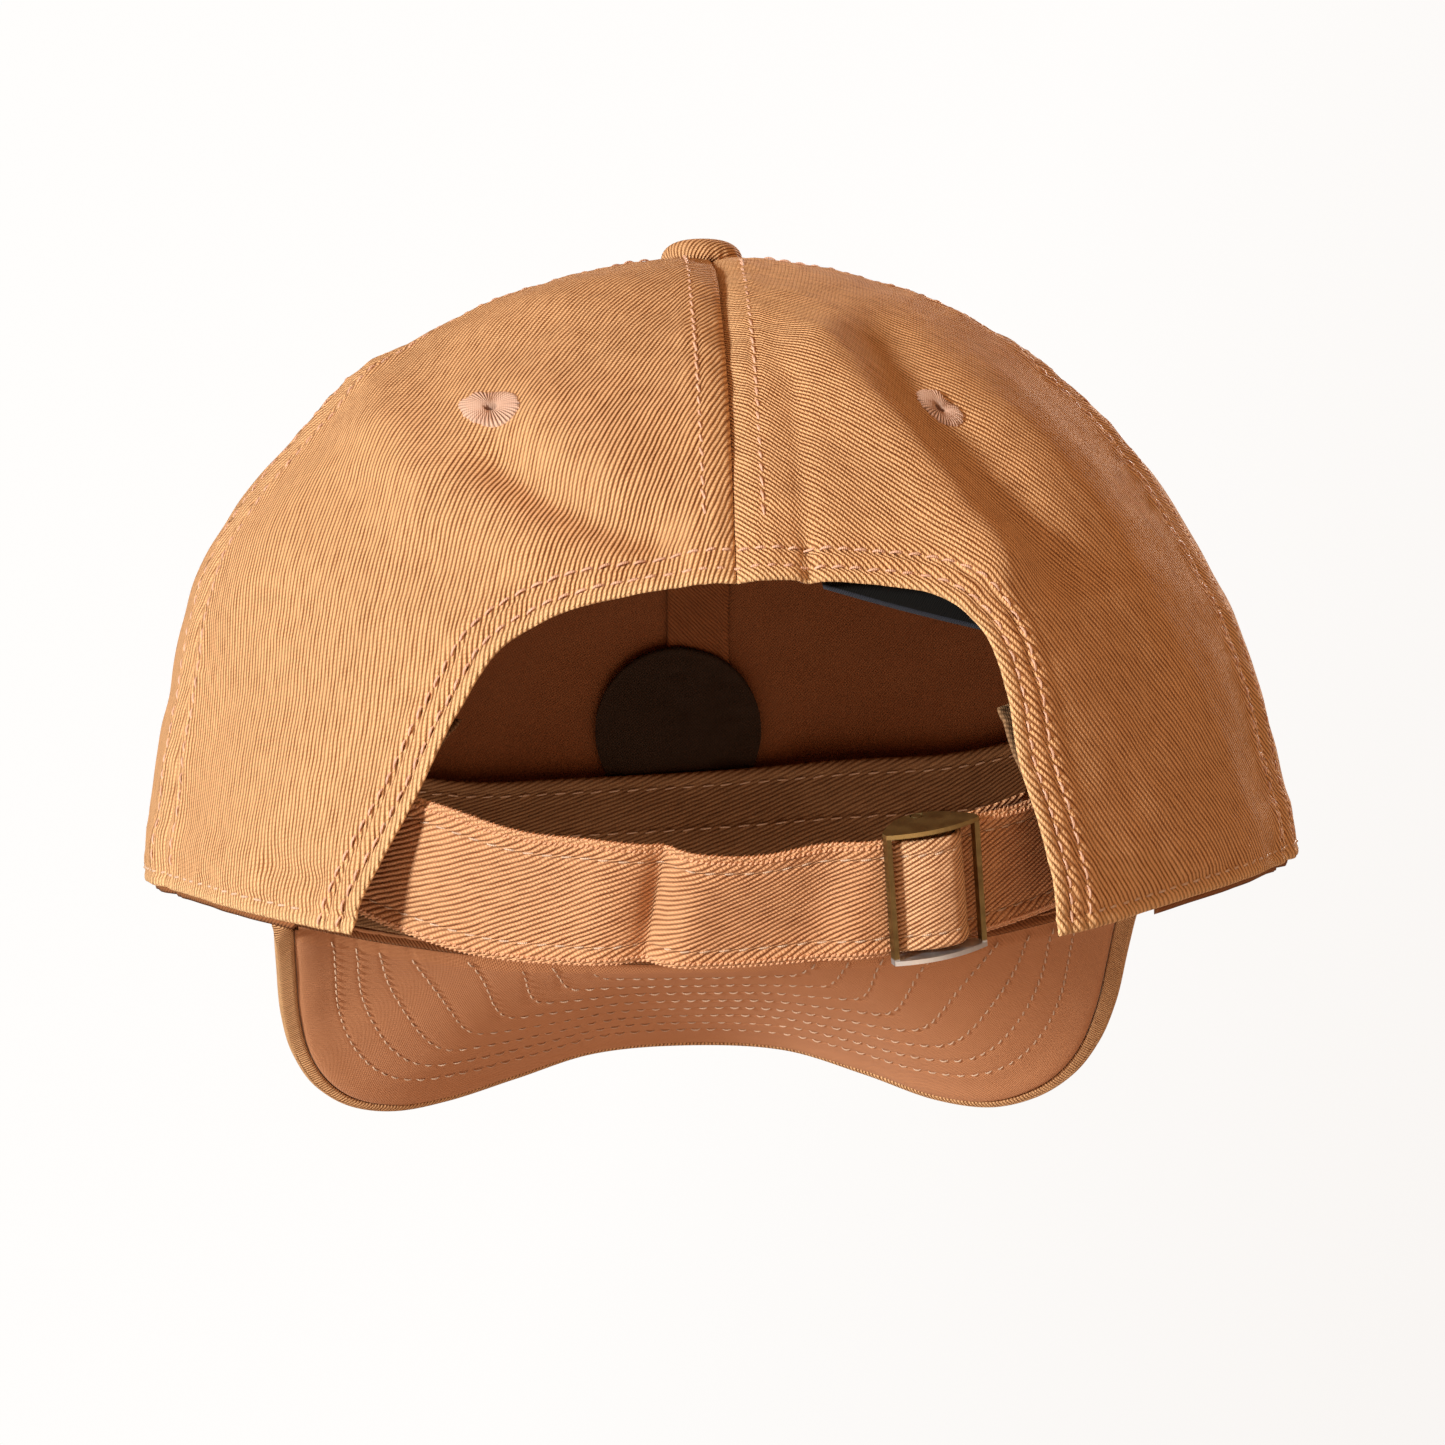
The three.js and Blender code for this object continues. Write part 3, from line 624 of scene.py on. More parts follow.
def twill(name, slant, ridge, groove_shade, pitch=0.80, depth=0.42, contrast=1.25, mottle=0.12):
    """Cotton twill: rope-like wales along slant degrees, paler on their ridges and with painted shade in
    their grooves, with slubs and wear.
    """
    nodes = Nodes(name, roughness=0.86, **{"Sheen Weight": 0.12, "Sheen Roughness": 0.45})
    nodes.shader.inputs["Sheen Tint"].default_value = (1.0, 0.68, 0.4, 1)
    nodes.shader.inputs["Specular IOR Level"].default_value = 0.12
    turned = nodes.pattern(slant)
    wander = nodes.noise(turned, 0.10, 2.0)
    split = nodes.node("ShaderNodeSeparateXYZ", {0: turned})
    along, across = split.outputs[0], split.outputs[1]
    across = nodes.math("MULTIPLY_ADD", wander, YARN["wander"], across)
    wales = nodes.math("DIVIDE", across, pitch)
    place = nodes.math("FRACT", wales)
    number = nodes.math("FLOOR", wales)
    arch = nodes.math("SINE", nodes.math("MULTIPLY", place, math.pi))
    ridge_height = nodes.math("POWER", arch, YARN["sharpness"])
    twist = nodes.math("MULTIPLY_ADD", place, YARN["slope"], nodes.math("MULTIPLY", number, YARN["shift"]))
    floats = nodes.math("FRACT", nodes.math("MULTIPLY_ADD", along, YARN["rate"] / pitch, twist))
    between = nodes.math("POWER", nodes.math("ABSOLUTE", nodes.math("MULTIPLY_ADD", floats, 2.0, -1.0)), 3.0)
    height = nodes.math("MULTIPLY", ridge_height, nodes.math("MULTIPLY_ADD", between, -YARN["dip"], 1.0))
    fibres = nodes.noise(turned, 3.2, 2.0, (0.5, 1.6, 1))
    height = nodes.math("MULTIPLY_ADD", fibres, YARN["fuzz"], height)
    slub = nodes.noise(turned, 1.0, 1.0, (0.22, 1.05, 1))
    # Painted shade: the lower the wales' height, the nearer the colour comes to the dark groove colour.
    tone = nodes.math("MULTIPLY_ADD", slub, 1.0, nodes.math("MULTIPLY_ADD", height, contrast, -0.62))
    colour = nodes.mix(nodes.node("ShaderNodeClamp", {0: tone}).outputs[0], opaque(groove_shade), opaque(ridge))
    cloudy = nodes.noise(turned, 0.045, 3.0)
    shade = nodes.math("MULTIPLY_ADD", cloudy, mottle * 2, 1 - mottle)
    grey = nodes.node("ShaderNodeCombineXYZ", {0: shade, 1: shade, 2: shade}).outputs[0]
    colour = nodes.mix(1.0, colour, grey, "MULTIPLY")
    wear = nodes.node("ShaderNodeAttribute", attribute_name="Wear_and_gap_shade").outputs["Fac"]
    worn = nodes.math("MULTIPLY", wear, nodes.math("MULTIPLY_ADD", fibres, 0.9, 0.1))
    colour = nodes.mix(worn, colour, tuple(min(1, c * 1.35 + 0.05) for c in ridge) + (1,))
    return nodes.finish(colour, height, depth)


def plain_weave(name, colour, pale, scale=1.6, depth=0.1):
    """Fine plain cloth: warp and weft threads with a soft mottle. scale is its threads to a millimetre."""
    nodes = Nodes(name, roughness=0.9, **{"Sheen Weight": 0.06, "Sheen Roughness": 0.5})
    nodes.shader.inputs["Specular IOR Level"].default_value = 0.2
    flat = nodes.pattern(8.0)
    split = nodes.node("ShaderNodeSeparateXYZ", {0: flat})
    warp, weft = (nodes.math("SINE", nodes.math("MULTIPLY", split.outputs[k], TURN * scale)) for k in (0, 1))
    weave = nodes.math("MULTIPLY_ADD", nodes.math("MULTIPLY", warp, weft), 0.5, 0.5)
    fibres = nodes.noise(flat, 2.2, 3.0, (1.0, 1.3, 1))
    height = nodes.math("MULTIPLY_ADD", fibres, 0.8, weave)
    cloudy = nodes.noise(flat, 0.05, 3.0)
    tone = nodes.math("MULTIPLY_ADD", cloudy, 0.35, nodes.math("MULTIPLY", height, 0.42))
    mixed = nodes.mix(nodes.node("ShaderNodeClamp", {0: tone}).outputs[0], opaque(colour), opaque(pale))
    return nodes.finish(mixed, height, depth)


def sewing_thread(name, colour, pale):
    """Twisted polyester thread: fine strands by position, and painted shade in the gaps between an eyelet's
    strands, where the piece's wear attribute is 1.
    """
    nodes = Nodes(name, roughness=0.55, **{"Sheen Weight": 0.1})
    nodes.shader.inputs["Specular IOR Level"].default_value = 0.4
    place = nodes.node("ShaderNodeTexCoord").outputs["Object"]
    twist = {"Vector": place, "Scale": 900.0, "Distortion": 2.0, "Detail": 1.0}
    strands = nodes.node("ShaderNodeTexWave", twist).outputs["Fac"]
    patchy = nodes.noise(place, 160.0, 2.0)
    tone = nodes.math("MULTIPLY_ADD", patchy, 0.8, nodes.math("MULTIPLY", strands, 0.3))
    mixed = nodes.mix(tone, opaque(colour), opaque(pale))
    # Painted shade: the thread darkens towards the gaps between an eyelet's strands.
    gap = nodes.node("ShaderNodeAttribute", attribute_name="Wear_and_gap_shade").outputs["Fac"]
    mixed = nodes.mix(gap, mixed, opaque(colour, 0.3))
    return nodes.finish(mixed, strands, 0.05)


def brushed_metal(name, base, dark, roughness=0.34, painted_lit_ends=None):
    """Plated metal: mottled patina and fine brushing.

    Its last argument paints highlights on both ends, where the plates catch the light: it holds the axis,
    the heights in millimetres along it where the painted foot and the painted crest start, and the foot's
    colour."""
    nodes = Nodes(name, roughness=roughness, metallic=1.0)
    place = nodes.node("ShaderNodeTexCoord").outputs["Object"]
    patina = nodes.noise(place, 420.0, 4.0)
    brushing = nodes.noise(place, 900.0, 3.0, (6, 1, 0.35))
    colour = nodes.mix(nodes.math("MULTIPLY_ADD", patina, 1.6, -0.4), opaque(dark), opaque(base))
    if painted_lit_ends:
        axis, low, high, bright = painted_lit_ends
        fade = 0.3
        along = {0: place, 1: tuple(axis)}
        height = nodes.node("ShaderNodeVectorMath", along, operation="DOT_PRODUCT").outputs[1]
        foot = nodes.node("ShaderNodeMapRange", {0: height, 1: (low + fade) * MM, 2: low * MM}).outputs[0]
        crest = nodes.node("ShaderNodeMapRange", {0: height, 1: high * MM, 2: (high + fade) * MM}).outputs[0]
        # Painted highlights: the crest's colour is brightened, and the foot gets its own pale colour, where
        # the plates catch the light.
        painted_highlight = nodes.mix(nodes.math("MULTIPLY", patina, 1.3), opaque(base), opaque(base, 1.35))
        colour = nodes.mix(crest, colour, painted_highlight)
        colour = nodes.mix(foot, colour, opaque(bright))
    rough = nodes.math("MULTIPLY_ADD", nodes.math("ADD", patina, brushing), 0.22, roughness - 0.16)
    return nodes.finish(colour, brushing, 0.03, rough)


def moulded_plastic(name, colour):
    """Plain moulded plastic with a fine grain."""
    nodes = Nodes(name, roughness=0.5)
    place = nodes.node("ShaderNodeTexCoord").outputs["Object"]
    grain = nodes.noise(place, 700.0, 3.0)
    tone = nodes.mix(grain, opaque(colour, 0.9), opaque(colour))
    return nodes.finish(tone, grain, 0.05)


# The second colour of each twill is painted shade: the dark colour of the grooves between its wales.
RIDGE, GROOVE_SHADE = (0.86, 0.485, 0.235), (0.25, 0.078, 0.02)
TWILLS = {slant: twill(f"crown_twill_{slant}", slant, RIDGE, GROOVE_SHADE) for slant in (60, 88, 128)}
STRAP_TWILL = twill("strap_twill", 23, (0.80, 0.41, 0.205), (0.26, 0.08, 0.026), pitch=0.74)
# A paler copy of the strap's twill for its fold in the buckle's window: painted light where the fold stands
# out into the light.
LIT_FOLD_TWILL = twill("strap_fold_twill_lit", 23, (0.91, 0.525, 0.285), (0.32, 0.105, 0.036), pitch=0.74)
BAND_TWILL = twill(
    "sweatband_twill", -22, (0.36, 0.20, 0.10), (0.17, 0.085, 0.038), pitch=0.85, depth=0.2, contrast=0.9
)
# The tapes inside take the same dark tone as the inside of the crown: painted shade.
TAPE_SHADE = twill("inner_tape", 45, (0.29, 0.108, 0.04), (0.17, 0.058, 0.021), pitch=0.6, depth=0.12)
# A darker copy of the crown's cloth for its inner faces: painted shade for the unlit inside of the crown.
INSIDE_SHADE = plain_weave("crown_inside_shade", (0.19, 0.066, 0.024), (0.29, 0.108, 0.04))
LINING = plain_weave("visor_lining", (0.47, 0.195, 0.082), (0.60, 0.27, 0.127), scale=1.3, depth=0.12)
THREAD = sewing_thread("crown_thread", (0.52, 0.25, 0.15), (0.84, 0.54, 0.38))
PALE_THREAD = sewing_thread("pale_thread", (0.50, 0.31, 0.19), (0.74, 0.53, 0.38))
CORD_THREAD = sewing_thread("strap_cord", (0.52, 0.225, 0.105), (0.84, 0.46, 0.25))
EYELET_THREAD = sewing_thread("eyelet_thread", (0.56, 0.28, 0.18), (0.88, 0.60, 0.44))
BLACK = plain_weave("black_cloth", (0.003, 0.003, 0.003), (0.008, 0.007, 0.006), scale=2.2, depth=0.08)
PATCH_CLOTH = plain_weave("patch_cloth", (0.022, 0.012, 0.007), (0.042, 0.023, 0.013))
LABEL_EDGE = plain_weave("label_edge", (0.012, 0.014, 0.02), (0.045, 0.05, 0.068), scale=2.2, depth=0.06)
STEEL = brushed_metal("button_steel", (0.42, 0.42, 0.41), (0.28, 0.28, 0.27))
PLASTIC = moulded_plastic("visor_plastic", (0.78, 0.76, 0.70))

# ---------------------------------------------------------------- crown panels

CROWN_MIDDLE = (0, 0, 20)
CROWN_STEP = 0.9  # spacing of the rear panels' grid
PLAIN_STEP = 1.17  # spacing of the other panels' grid


def pattern_of(angle, rise, centre):
    """Flat pattern of a panel: across from its centre line, and up from the rim."""
    middle = (round_scale(angle, rise) + round_scale(np.full_like(angle, centre), rise)) / 2
    return np.stack([(angle - centre) * middle, share_of(rise) * MERIDIAN], axis=-1)


def plain_panel(start, stop):
    """Angles and rises of a panel that runs from the rim to the button."""
    turn = mix(start, stop, spacing(abs(stop - start) * MEAN_RADIUS, PLAIN_STEP))
    under_button = 0.975
    angle, shares = np.meshgrid(turn, spacing(MERIDIAN, PLAIN_STEP) * under_button)
    return angle, rise_of(shares)


def opening_panel(side_seam, on_left):
    """Angles and rises of a rear panel, on a grid that follows the opening, the rim and both seams.

    The four sides are blended in a flat disc that has the crown's top in the middle."""

    def on_disc(angle, share):
        return np.stack([np.cos(angle), np.sin(angle)], -1) * (1 - np.asarray(share))[..., None]

    angle, rise = arch_places(0, 1600)
    left = angle < math.pi / 2
    angle, rise = (angle[left][::-1], rise[left][::-1]) if on_left else (angle[~left], rise[~left])
    lengths = along_of(dome_point(angle, rise))
    along = spacing(lengths[-1], CROWN_STEP)
    angle[0] = math.pi / 2
    rise[-1] = 0.0
    places = along * lengths[-1]
    arch = on_disc(np.interp(places, lengths, angle), share_of(np.interp(places, lengths, rise)))
    corner, crest = angle[-1], share_of(rise[0])
    across = spacing(70, CROWN_STEP * 0.75)
    rim = on_disc(mix(corner, side_seam, across), np.zeros_like(across))
    side = on_disc(np.full_like(along, side_seam), 1 - along)
    centre = on_disc(np.full_like(across, math.pi / 2), mix(crest, 1.0, across))
    u, v = along[None, :, None], across[:, None, None]
    grid = (
        (1 - v) * arch[None] + v * side[None] + (1 - u) * centre[:, None] + u * rim[:, None]
        - (1 - u) * (1 - v) * arch[0] - u * (1 - v) * arch[-1] - (1 - u) * v * side[0] - u * v * side[-1]
    )
    share = 1 - np.linalg.norm(grid, axis=-1)
    angles = np.arctan2(grid[..., 1], grid[..., 0])
    angles[-1, 0] = side_seam
    if side_seam > math.pi / 2:
        angles = np.where(angles < -0.5, angles + TURN, angles)
    return angles, rise_of(share)


def crown_panel(name):
    """One panel of twill, worn along its seams and edges, with a hole for its eyelet."""
    start, stop, eyelet, slant = PANELS[name]
    centre = math.radians((start + stop) / 2)
    if name.endswith("_back"):
        seam = math.radians(start if name == "left_back" else stop)
        angle, rise = opening_panel(seam, name == "left_back")
        centre = math.radians(eyelet)
    else:
        angle, rise = plain_panel(math.radians(start), math.radians(stop))
    uv = pattern_of(angle, rise, centre)
    relief = crown_relief(angle, rise)
    middle = dome_point(angle, rise, HALF_CLOTH) + dome_normal(angle, rise) * relief[..., None]
    seam, rim = from_seam(angle, rise), share_of(rise) * MERIDIAN
    wear = bell(seam, height=0.14, width=1.6, middle=2.0) + bell(rim, height=0.5, width=1.4)
    if name.endswith("_back"):
        arch = distance_to(dome_point(angle, rise, HALF_CLOTH), ARCH_ON_CROWN)
        wear += bell(arch, height=0.45, width=1.6)
    spot = dome_point(math.radians(eyelet), EYELET_RISE, HALF_CLOTH)
    # Its inner faces take the darker inside cloth: painted shade.
    body = cloth_piece(
        f"{name}_panel_cloth", "cap", middle, HALF_CLOTH, uv, [TWILLS[slant], INSIDE_SHADE], CROWN_MIDDLE,
        hole=(spot, EYELET["cut"]), wear=np.clip(wear, 0, 1),
    )
    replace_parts(body, f"{name}_panel")


# ---------------------------------------------------------------- embroidered eyelets


def eyelet_ring(name):
    """A ring of satin stitches sewn round a hole, standing proud on both faces of the cloth."""
    long, short, turn, notch = EYELET_SHAPES.get(name, PLAIN_EYELET)
    angle, rise, turn = math.radians(PANELS[name][2]), EYELET_RISE, math.radians(turn)
    around = np.linspace(0, TURN, EYELET["strands"] * 6, endpoint=False)
    section = np.linspace(0, TURN, 18, endpoint=False)
    strand = np.abs(np.sin(around * EYELET["strands"] / 2))
    draw = np.random.default_rng(len(name))
    ragged = np.interp(around, np.linspace(0, TURN, 30), draw.uniform(-0.08, 0.05, 30))
    folded = bell(around, notch, width=0.45, middle=math.radians(82))
    outer = 1 + 0.03 * strand + ragged - folded
    radius = mix(EYELET["hole"], 1, (1 + np.cos(section)) / 2)[None] * outer[:, None]
    crest = EYELET["height"] * (0.45 + 0.55 * strand + ragged)
    swell = np.sign(np.sin(section)) * np.abs(np.sin(section)) ** 0.7
    height = crest[:, None] * swell - EYELET["sunk"] * np.clip(-swell, 0, 1)
    across, up = long * radius * np.cos(around)[:, None], short * radius * np.sin(around)[:, None]
    x = across * math.cos(turn) - up * math.sin(turn)
    y = across * math.sin(turn) + up * math.cos(turn)
    if name.endswith("_back"):
        centre = dome_point(angle, rise, HALF_CLOTH)
        angles, rises = dome_where(centre[0] - x, centre[2] + y, HALF_CLOTH, 1)
    else:
        angles = angle + x / round_scale(angle, rise)
        rises = rise_of(share_of(rise) + y / MERIDIAN)
    points = crown_surface(angles, rises, height - 0.15)[0]
    rows, columns = points.shape[:2]
    looped = np.vstack([grid_faces(rows, columns, closed=True), wrap_row(rows, columns)])
    # Painted shade in the gaps between the strands, carried by the wear attribute.
    strand_gap_shade = np.broadcast_to((1 - strand)[:, None], (rows, columns)).ravel()
    ring = new_piece(
        f"{name}_eyelet_stitching", "cap", points.reshape(-1, 3), looped[:, ::-1], [EYELET_THREAD],
        wear=strand_gap_shade,
    )
    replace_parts(ring, f"{name}_eyelet")


def wrap_row(rows, columns):
    """Faces that join a closed grid's last row to its first one."""
    column = np.arange(columns)
    after = (column + 1) % columns
    last = (rows - 1) * columns
    return np.stack([last + column, last + after, after, column], axis=-1)


# ---------------------------------------------------------------- seams, tapes and hems


def crown_stitching():
    """The rows beside the six seams, round the rear opening and along the rim."""
    rows = []
    for degrees, start in SEAMS.values():
        seam = math.radians(degrees)
        lowest = share_of(start) if start > 0.5 else 0.02
        rise = rise_of(np.linspace(lowest, 0.93, 260))
        for side in (-1, 1):
            rows.append(crown_surface(seam + side * SEAM_ALLOWANCE / round_scale(seam, rise), rise))
    stitches("crown_seam_stitching", "cap", rows, THREAD)
    hems = [crown_surface(*arch_places(row, 500)) for row in HEM_ROWS]
    stitches("opening_stitching", "cap", hems, THREAD)
    left, right = (arch_places(6.0, 900)[0][k] for k in (0, -1))
    angle = np.linspace(right, left + TURN, 1400)
    rim = crown_surface(angle, rise_of(np.full_like(angle, RIM_ROW / MERIDIAN)))
    stitches("rim_stitching", "cap", [rim], PALE_THREAD)


def strip(name, grid, half, material):
    """A strip of cloth inside the crown, which gets its flat pattern from its own lengths."""
    rows, columns = grid.shape[:2]
    across, along = along_of(grid[:, columns // 2]), along_of(grid[rows // 2])
    uv = np.stack(np.meshgrid(along, across), axis=-1)
    return cloth_piece(name, "cap", grid, half, uv, [material], CROWN_MIDDLE)


def tape_strip(name, grid, node):
    """A strip of tape that stands for a CAD node."""
    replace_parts(strip(name, grid, HALF_TAPE, TAPE_SHADE), node)


def seam_tapes():
    """A tape over each seam, which narrows where the panels meet at the top."""
    for name, (degrees, start) in SEAMS.items():
        seam = math.radians(degrees)
        rise = rise_of(np.linspace(share_of(start), 0.945, 150)[None, :])
        half_turn = np.minimum(TAPE_WIDTH / 2 / round_scale(seam, rise), math.radians(22))
        across = spacing(TAPE_WIDTH, 0.9, fine=0.1)[:, None]
        grid = lining_surface(seam + mix(-half_turn, half_turn, across), rise, TAPE_DEPTH)
        tape_strip(f"{name}_tape_cloth", grid, f"{name}_seam_tape")


def opening_facing():
    """The strip behind the edge of the rear opening: lines at growing distances from that edge."""
    depth_below_dome = 1.9
    grid = []
    for margin in np.linspace(0.5, 8.0, 14):
        line = arch_line(margin, 0.094, 0.923, 260)
        angle, rise = dome_where(line[:, 0], line[:, 1], depth_below_dome, 1)
        grid.append(lining_surface(angle, rise, TAPE_DEPTH))
    tape_strip("opening_facing_cloth", np.array(grid), "opening_facing")


def rim_tape():
    """A tape round the rim, which goes on straight down for the part of it that hangs below."""
    angle = np.radians(np.linspace(-226, 43, 360))[None, :]
    above = np.linspace(-1.2, 10, 14)[:, None]
    rise = above / (HEIGHT - rim_height(angle))
    grid = lining_surface(angle, np.maximum(rise, 0), TAPE_DEPTH)
    grid[..., 2] += np.minimum(above, 0)
    tape_strip("rim_tape_cloth", grid, "rim_tape")


# ---------------------------------------------------------------- sweatband, patch and label

BAND_TOP_CURVE = smooth_curve(BAND_TOP, 12)


def band_loose(angle):
    """How loose the sweatband is: 0 round the front, and 1 at its ends beside the opening."""
    return smoothstep(np.arcsin(np.sin(angle)), math.radians(-5), math.radians(48))


def band_point(angle, height):
    """Middle of the sweatband at an angle and a height above the rim."""
    inset = SWEATBAND["inset"] + 0.4 + band_loose(angle) * SWEATBAND["stand_off"]
    rise = height / (HEIGHT - rim_height(angle))
    points = dome_point(angle, rise, inset)
    points += unit(points * (1, 1, 0)) * (0.35 * ripple(points, 16, 21))[..., None]
    return points


def band_top(angle):
    """Height of the band's top edge: it rises at its ends, and wanders across the front."""
    front = smoothstep(-np.sin(angle), 0.1, 0.5)
    shift = np.interp((HALF_WIDTH - 5) * np.cos(angle), BAND_TOP_CURVE[:, 0], BAND_TOP_CURVE[:, 1])
    return SWEATBAND["height"] + band_loose(angle) * SWEATBAND["end_rise"] + front * shift


def sweatband():
    """The sweatband, whose ends follow the opening's edge, with its top edge turned over and sewn."""
    left_edge, right_edge = (arch_line(-inward) for inward in BAND_ENDS)
    left_top, right_top = (int(np.argmax(edge[:, 1])) for edge in (left_edge, right_edge))
    shares = spacing(SWEATBAND["height"], 0.8)[:, None]
    lowest, tallest = 4.5, 0.83 * (SWEATBAND["height"] + SWEATBAND["end_rise"])
    loose_radius = (HALF_WIDTH - 20) * 0.985
    ends = []
    for part in (left_edge[:left_top], right_edge[right_top:][::-1]):
        x = np.interp(lowest + tallest * shares[:, 0], part[:, 1], part[:, 0])
        ends.append(np.arccos(x / loose_radius))
    left, right = ends
    length = 520
    across = spacing(length, 1.3)[None, :]
    angle = mix((right - TURN)[:, None], left[:, None], across)
    grid = band_point(angle, mix(0.8, band_top(angle), shares))
    uv = np.stack(np.broadcast_arrays(angle * MEAN_RADIUS, shares * SWEATBAND["cut"]), axis=-1)
    below_top = (1 - shares) * SWEATBAND["cut"]
    fold = bell(below_top, height=0.55, width=1.6, middle=1.0)
    sewn = sum(bell(below_top, height=0.22, width=0.5, middle=row) for row in BAND_ROWS)
    grid = grid - grid_normals(grid, CROWN_MIDDLE) * (fold - sewn)[..., None]
    piece = cloth_piece(
        "sweatband_cloth", "cap", grid, HALF_BAND, uv, [BAND_TWILL], CROWN_MIDDLE
    )
    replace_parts(piece, "sweatband")
    rows = []
    for below in BAND_ROWS:
        turn = np.linspace(-TURN + 2.25, 0.9, 900)
        line = band_point(turn, band_top(turn) - below)
        inward = -unit(line * (1, 1, 0))
        rows.append((line + inward * 0.42, inward))
    stitches("sweatband_stitching", "cap", rows, PALE_THREAD)


def patch():
    """The round patch inside the front: a grid squeezed into a disc."""
    across = -np.cos(np.linspace(0.06, math.pi - 0.06, 60))[None, :] * PATCH["radius"]
    tall = np.sqrt(PATCH["radius"] ** 2 - across**2)
    x, z = np.broadcast_arrays(PATCH["x"] + across, PATCH["z"] + tall * np.linspace(-1, 1, 60)[:, None])
    angle, rise = dome_where(x, z, PATCH["inset"], -1)
    grid = lining_surface(angle, rise, PATCH["inset"])
    uv = np.stack([x, z], axis=-1)
    piece = cloth_piece(
        "front_patch_cloth", "cap", grid, HALF_PATCH, uv, [PATCH_CLOTH], CROWN_MIDDLE
    )
    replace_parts(piece, "front_backing_patch")


def label():
    """A blank woven label that hangs from the centre seam, with a paler selvedge along its foot."""
    turn = math.radians(LABEL["turn"])
    u, v = np.meshgrid(np.linspace(0, LABEL["width"], 70), np.linspace(0, LABEL["height"], 44))
    x = LABEL["x"] - u * math.cos(turn) + v * math.sin(turn)
    z = LABEL["z"] - u * math.sin(turn) + v * math.cos(turn)
    angle, rise = dome_where(x, z, LABEL["inset"], 1)
    bow = 0.5 * np.sin(u / 9.0) * (1 - v / LABEL["height"])
    grid = dome_point(angle, rise, LABEL["inset"] + 0.3 + bow)
    uv = np.stack([u, v], axis=-1)
    piece = cloth_piece(
        "blank_label_cloth", "cap", grid, HALF_PATCH, uv, [BLACK], CROWN_MIDDLE
    )
    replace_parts(piece, "blank_label")
    strip("label_selvedge", grid[:3], HALF_SELVEDGE, LABEL_EDGE)


# ---------------------------------------------------------------- covered button


def button():
    """The cloth pulled over the button, pleated where it is gathered underneath."""
    low, high = (np.array(corner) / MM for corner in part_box("button_cover"))
    centre, radius, height = (low + high) / 2, (high - low)[0] / 2, (high - low)[2]
    bend = np.linspace(0.012, 1, 46)[:, None]
    around = np.linspace(0, TURN, 144, endpoint=False)[None, :]
    swell = np.sin(np.minimum(bend * 1.13, 1) * math.pi / 2) ** 0.82
    tuck = smoothstep(bend, 0.86, 1.0)
    pleats = 0.10 * smoothstep(bend, 0.45, 0.9) * np.sin(around * 17 + 2 * np.sin(around * 3))
    reach = radius * (swell - 0.16 * tuck) + pleats
    reach = reach * (1 + 0.015 * np.sin(around * 2 + 1))
    level = height * (1 - (1 - np.cos(bend * math.pi / 2 * 1.02)) ** 1.15) - 0.25
    level = level + 0.12 * np.sin(around + 0.6) * bend
    x, y = centre[0] + reach * np.cos(around), centre[1] + reach * np.sin(around)
    points = np.stack([x, y, low[2] - 0.3 + level], axis=-1)
    cloth = bend * radius * 1.45
    uv = np.stack([cloth * np.cos(around), cloth * np.sin(around)], axis=-1)
    rows, columns = points.shape[:2]
    faces = grid_faces(rows, columns, closed=True)[:, ::-1].tolist()
    faces.append(list(range(columns)))
    last = (rows - 1) * columns
    faces.append(list(range(last + columns - 1, last - 1, -1)))
    points, uv = points.reshape(-1, 3), uv.reshape(-1, 2)
    piece = new_piece("button_cloth", "cap", points, faces, [TWILLS[60]], uv)
    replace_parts(piece, "button_cover")


# ---------------------------------------------------------------- visor


def visor_side(side, sag):
    """Half of the visor's edge at a side, from the corner at the rim, with its free corner lowered."""
    return [(side * x, y, z - bell(x, height=sag, width=16, middle=54)) for x, y, z in VISOR_EDGE]


VISOR_CURVE = smooth_curve(visor_side(-1, VISOR_SAG[1])[:-1] + visor_side(1, VISOR_SAG[0])[::-1], 40)
VISOR_LENGTH = along_of(VISOR_CURVE)[-1]
ABOVE_VISOR = (0, -100, 60)


def visor_lines(u):
    """Both ends of the visor's straight lines, at the rim and at its edge. u runs from right to left."""
    u = np.clip(u, 0, 1)
    angle = np.radians(mix(VISOR_FROM, VISOR_TO, u))
    return dome_point(angle, 0 * angle, -0.5), at_lengths(VISOR_CURVE, u * VISOR_LENGTH)


def visor_reach(u):
    """Length of the visor's straight lines, from its edge to the rim."""
    seam, edge = visor_lines(u)
    return np.linalg.norm(seam - edge, axis=-1)


def visor_points(u, from_edge, height):
    """Points of the visor: from_edge is measured in from its edge along its straight lines."""
    u, from_edge, height = np.broadcast_arrays(u, from_edge, np.asarray(height, float))
    seam, edge = visor_lines(u)
    seam_after, edge_after = visor_lines(u + 0.01)
    seam_before, edge_before = visor_lines(u - 0.01)
    along = unit(edge_after - edge_before) + unit(seam_after - seam_before)
    normal = unit(np.cross(along, seam - edge))
    reach = np.linalg.norm(seam - edge, axis=-1)
    share = np.minimum(from_edge / reach, 1 + VISOR_TUCK / reach)[..., None]
    return edge + (seam - edge) * share + normal * height[..., None]


def visor_fullness(u):
    """How far the two covers stand apart: all the way, but closing up at the visor's ends."""
    return mix(0.3, 1, smoothstep(np.minimum(u, 1 - u) * VISOR_LENGTH, 0, 7))


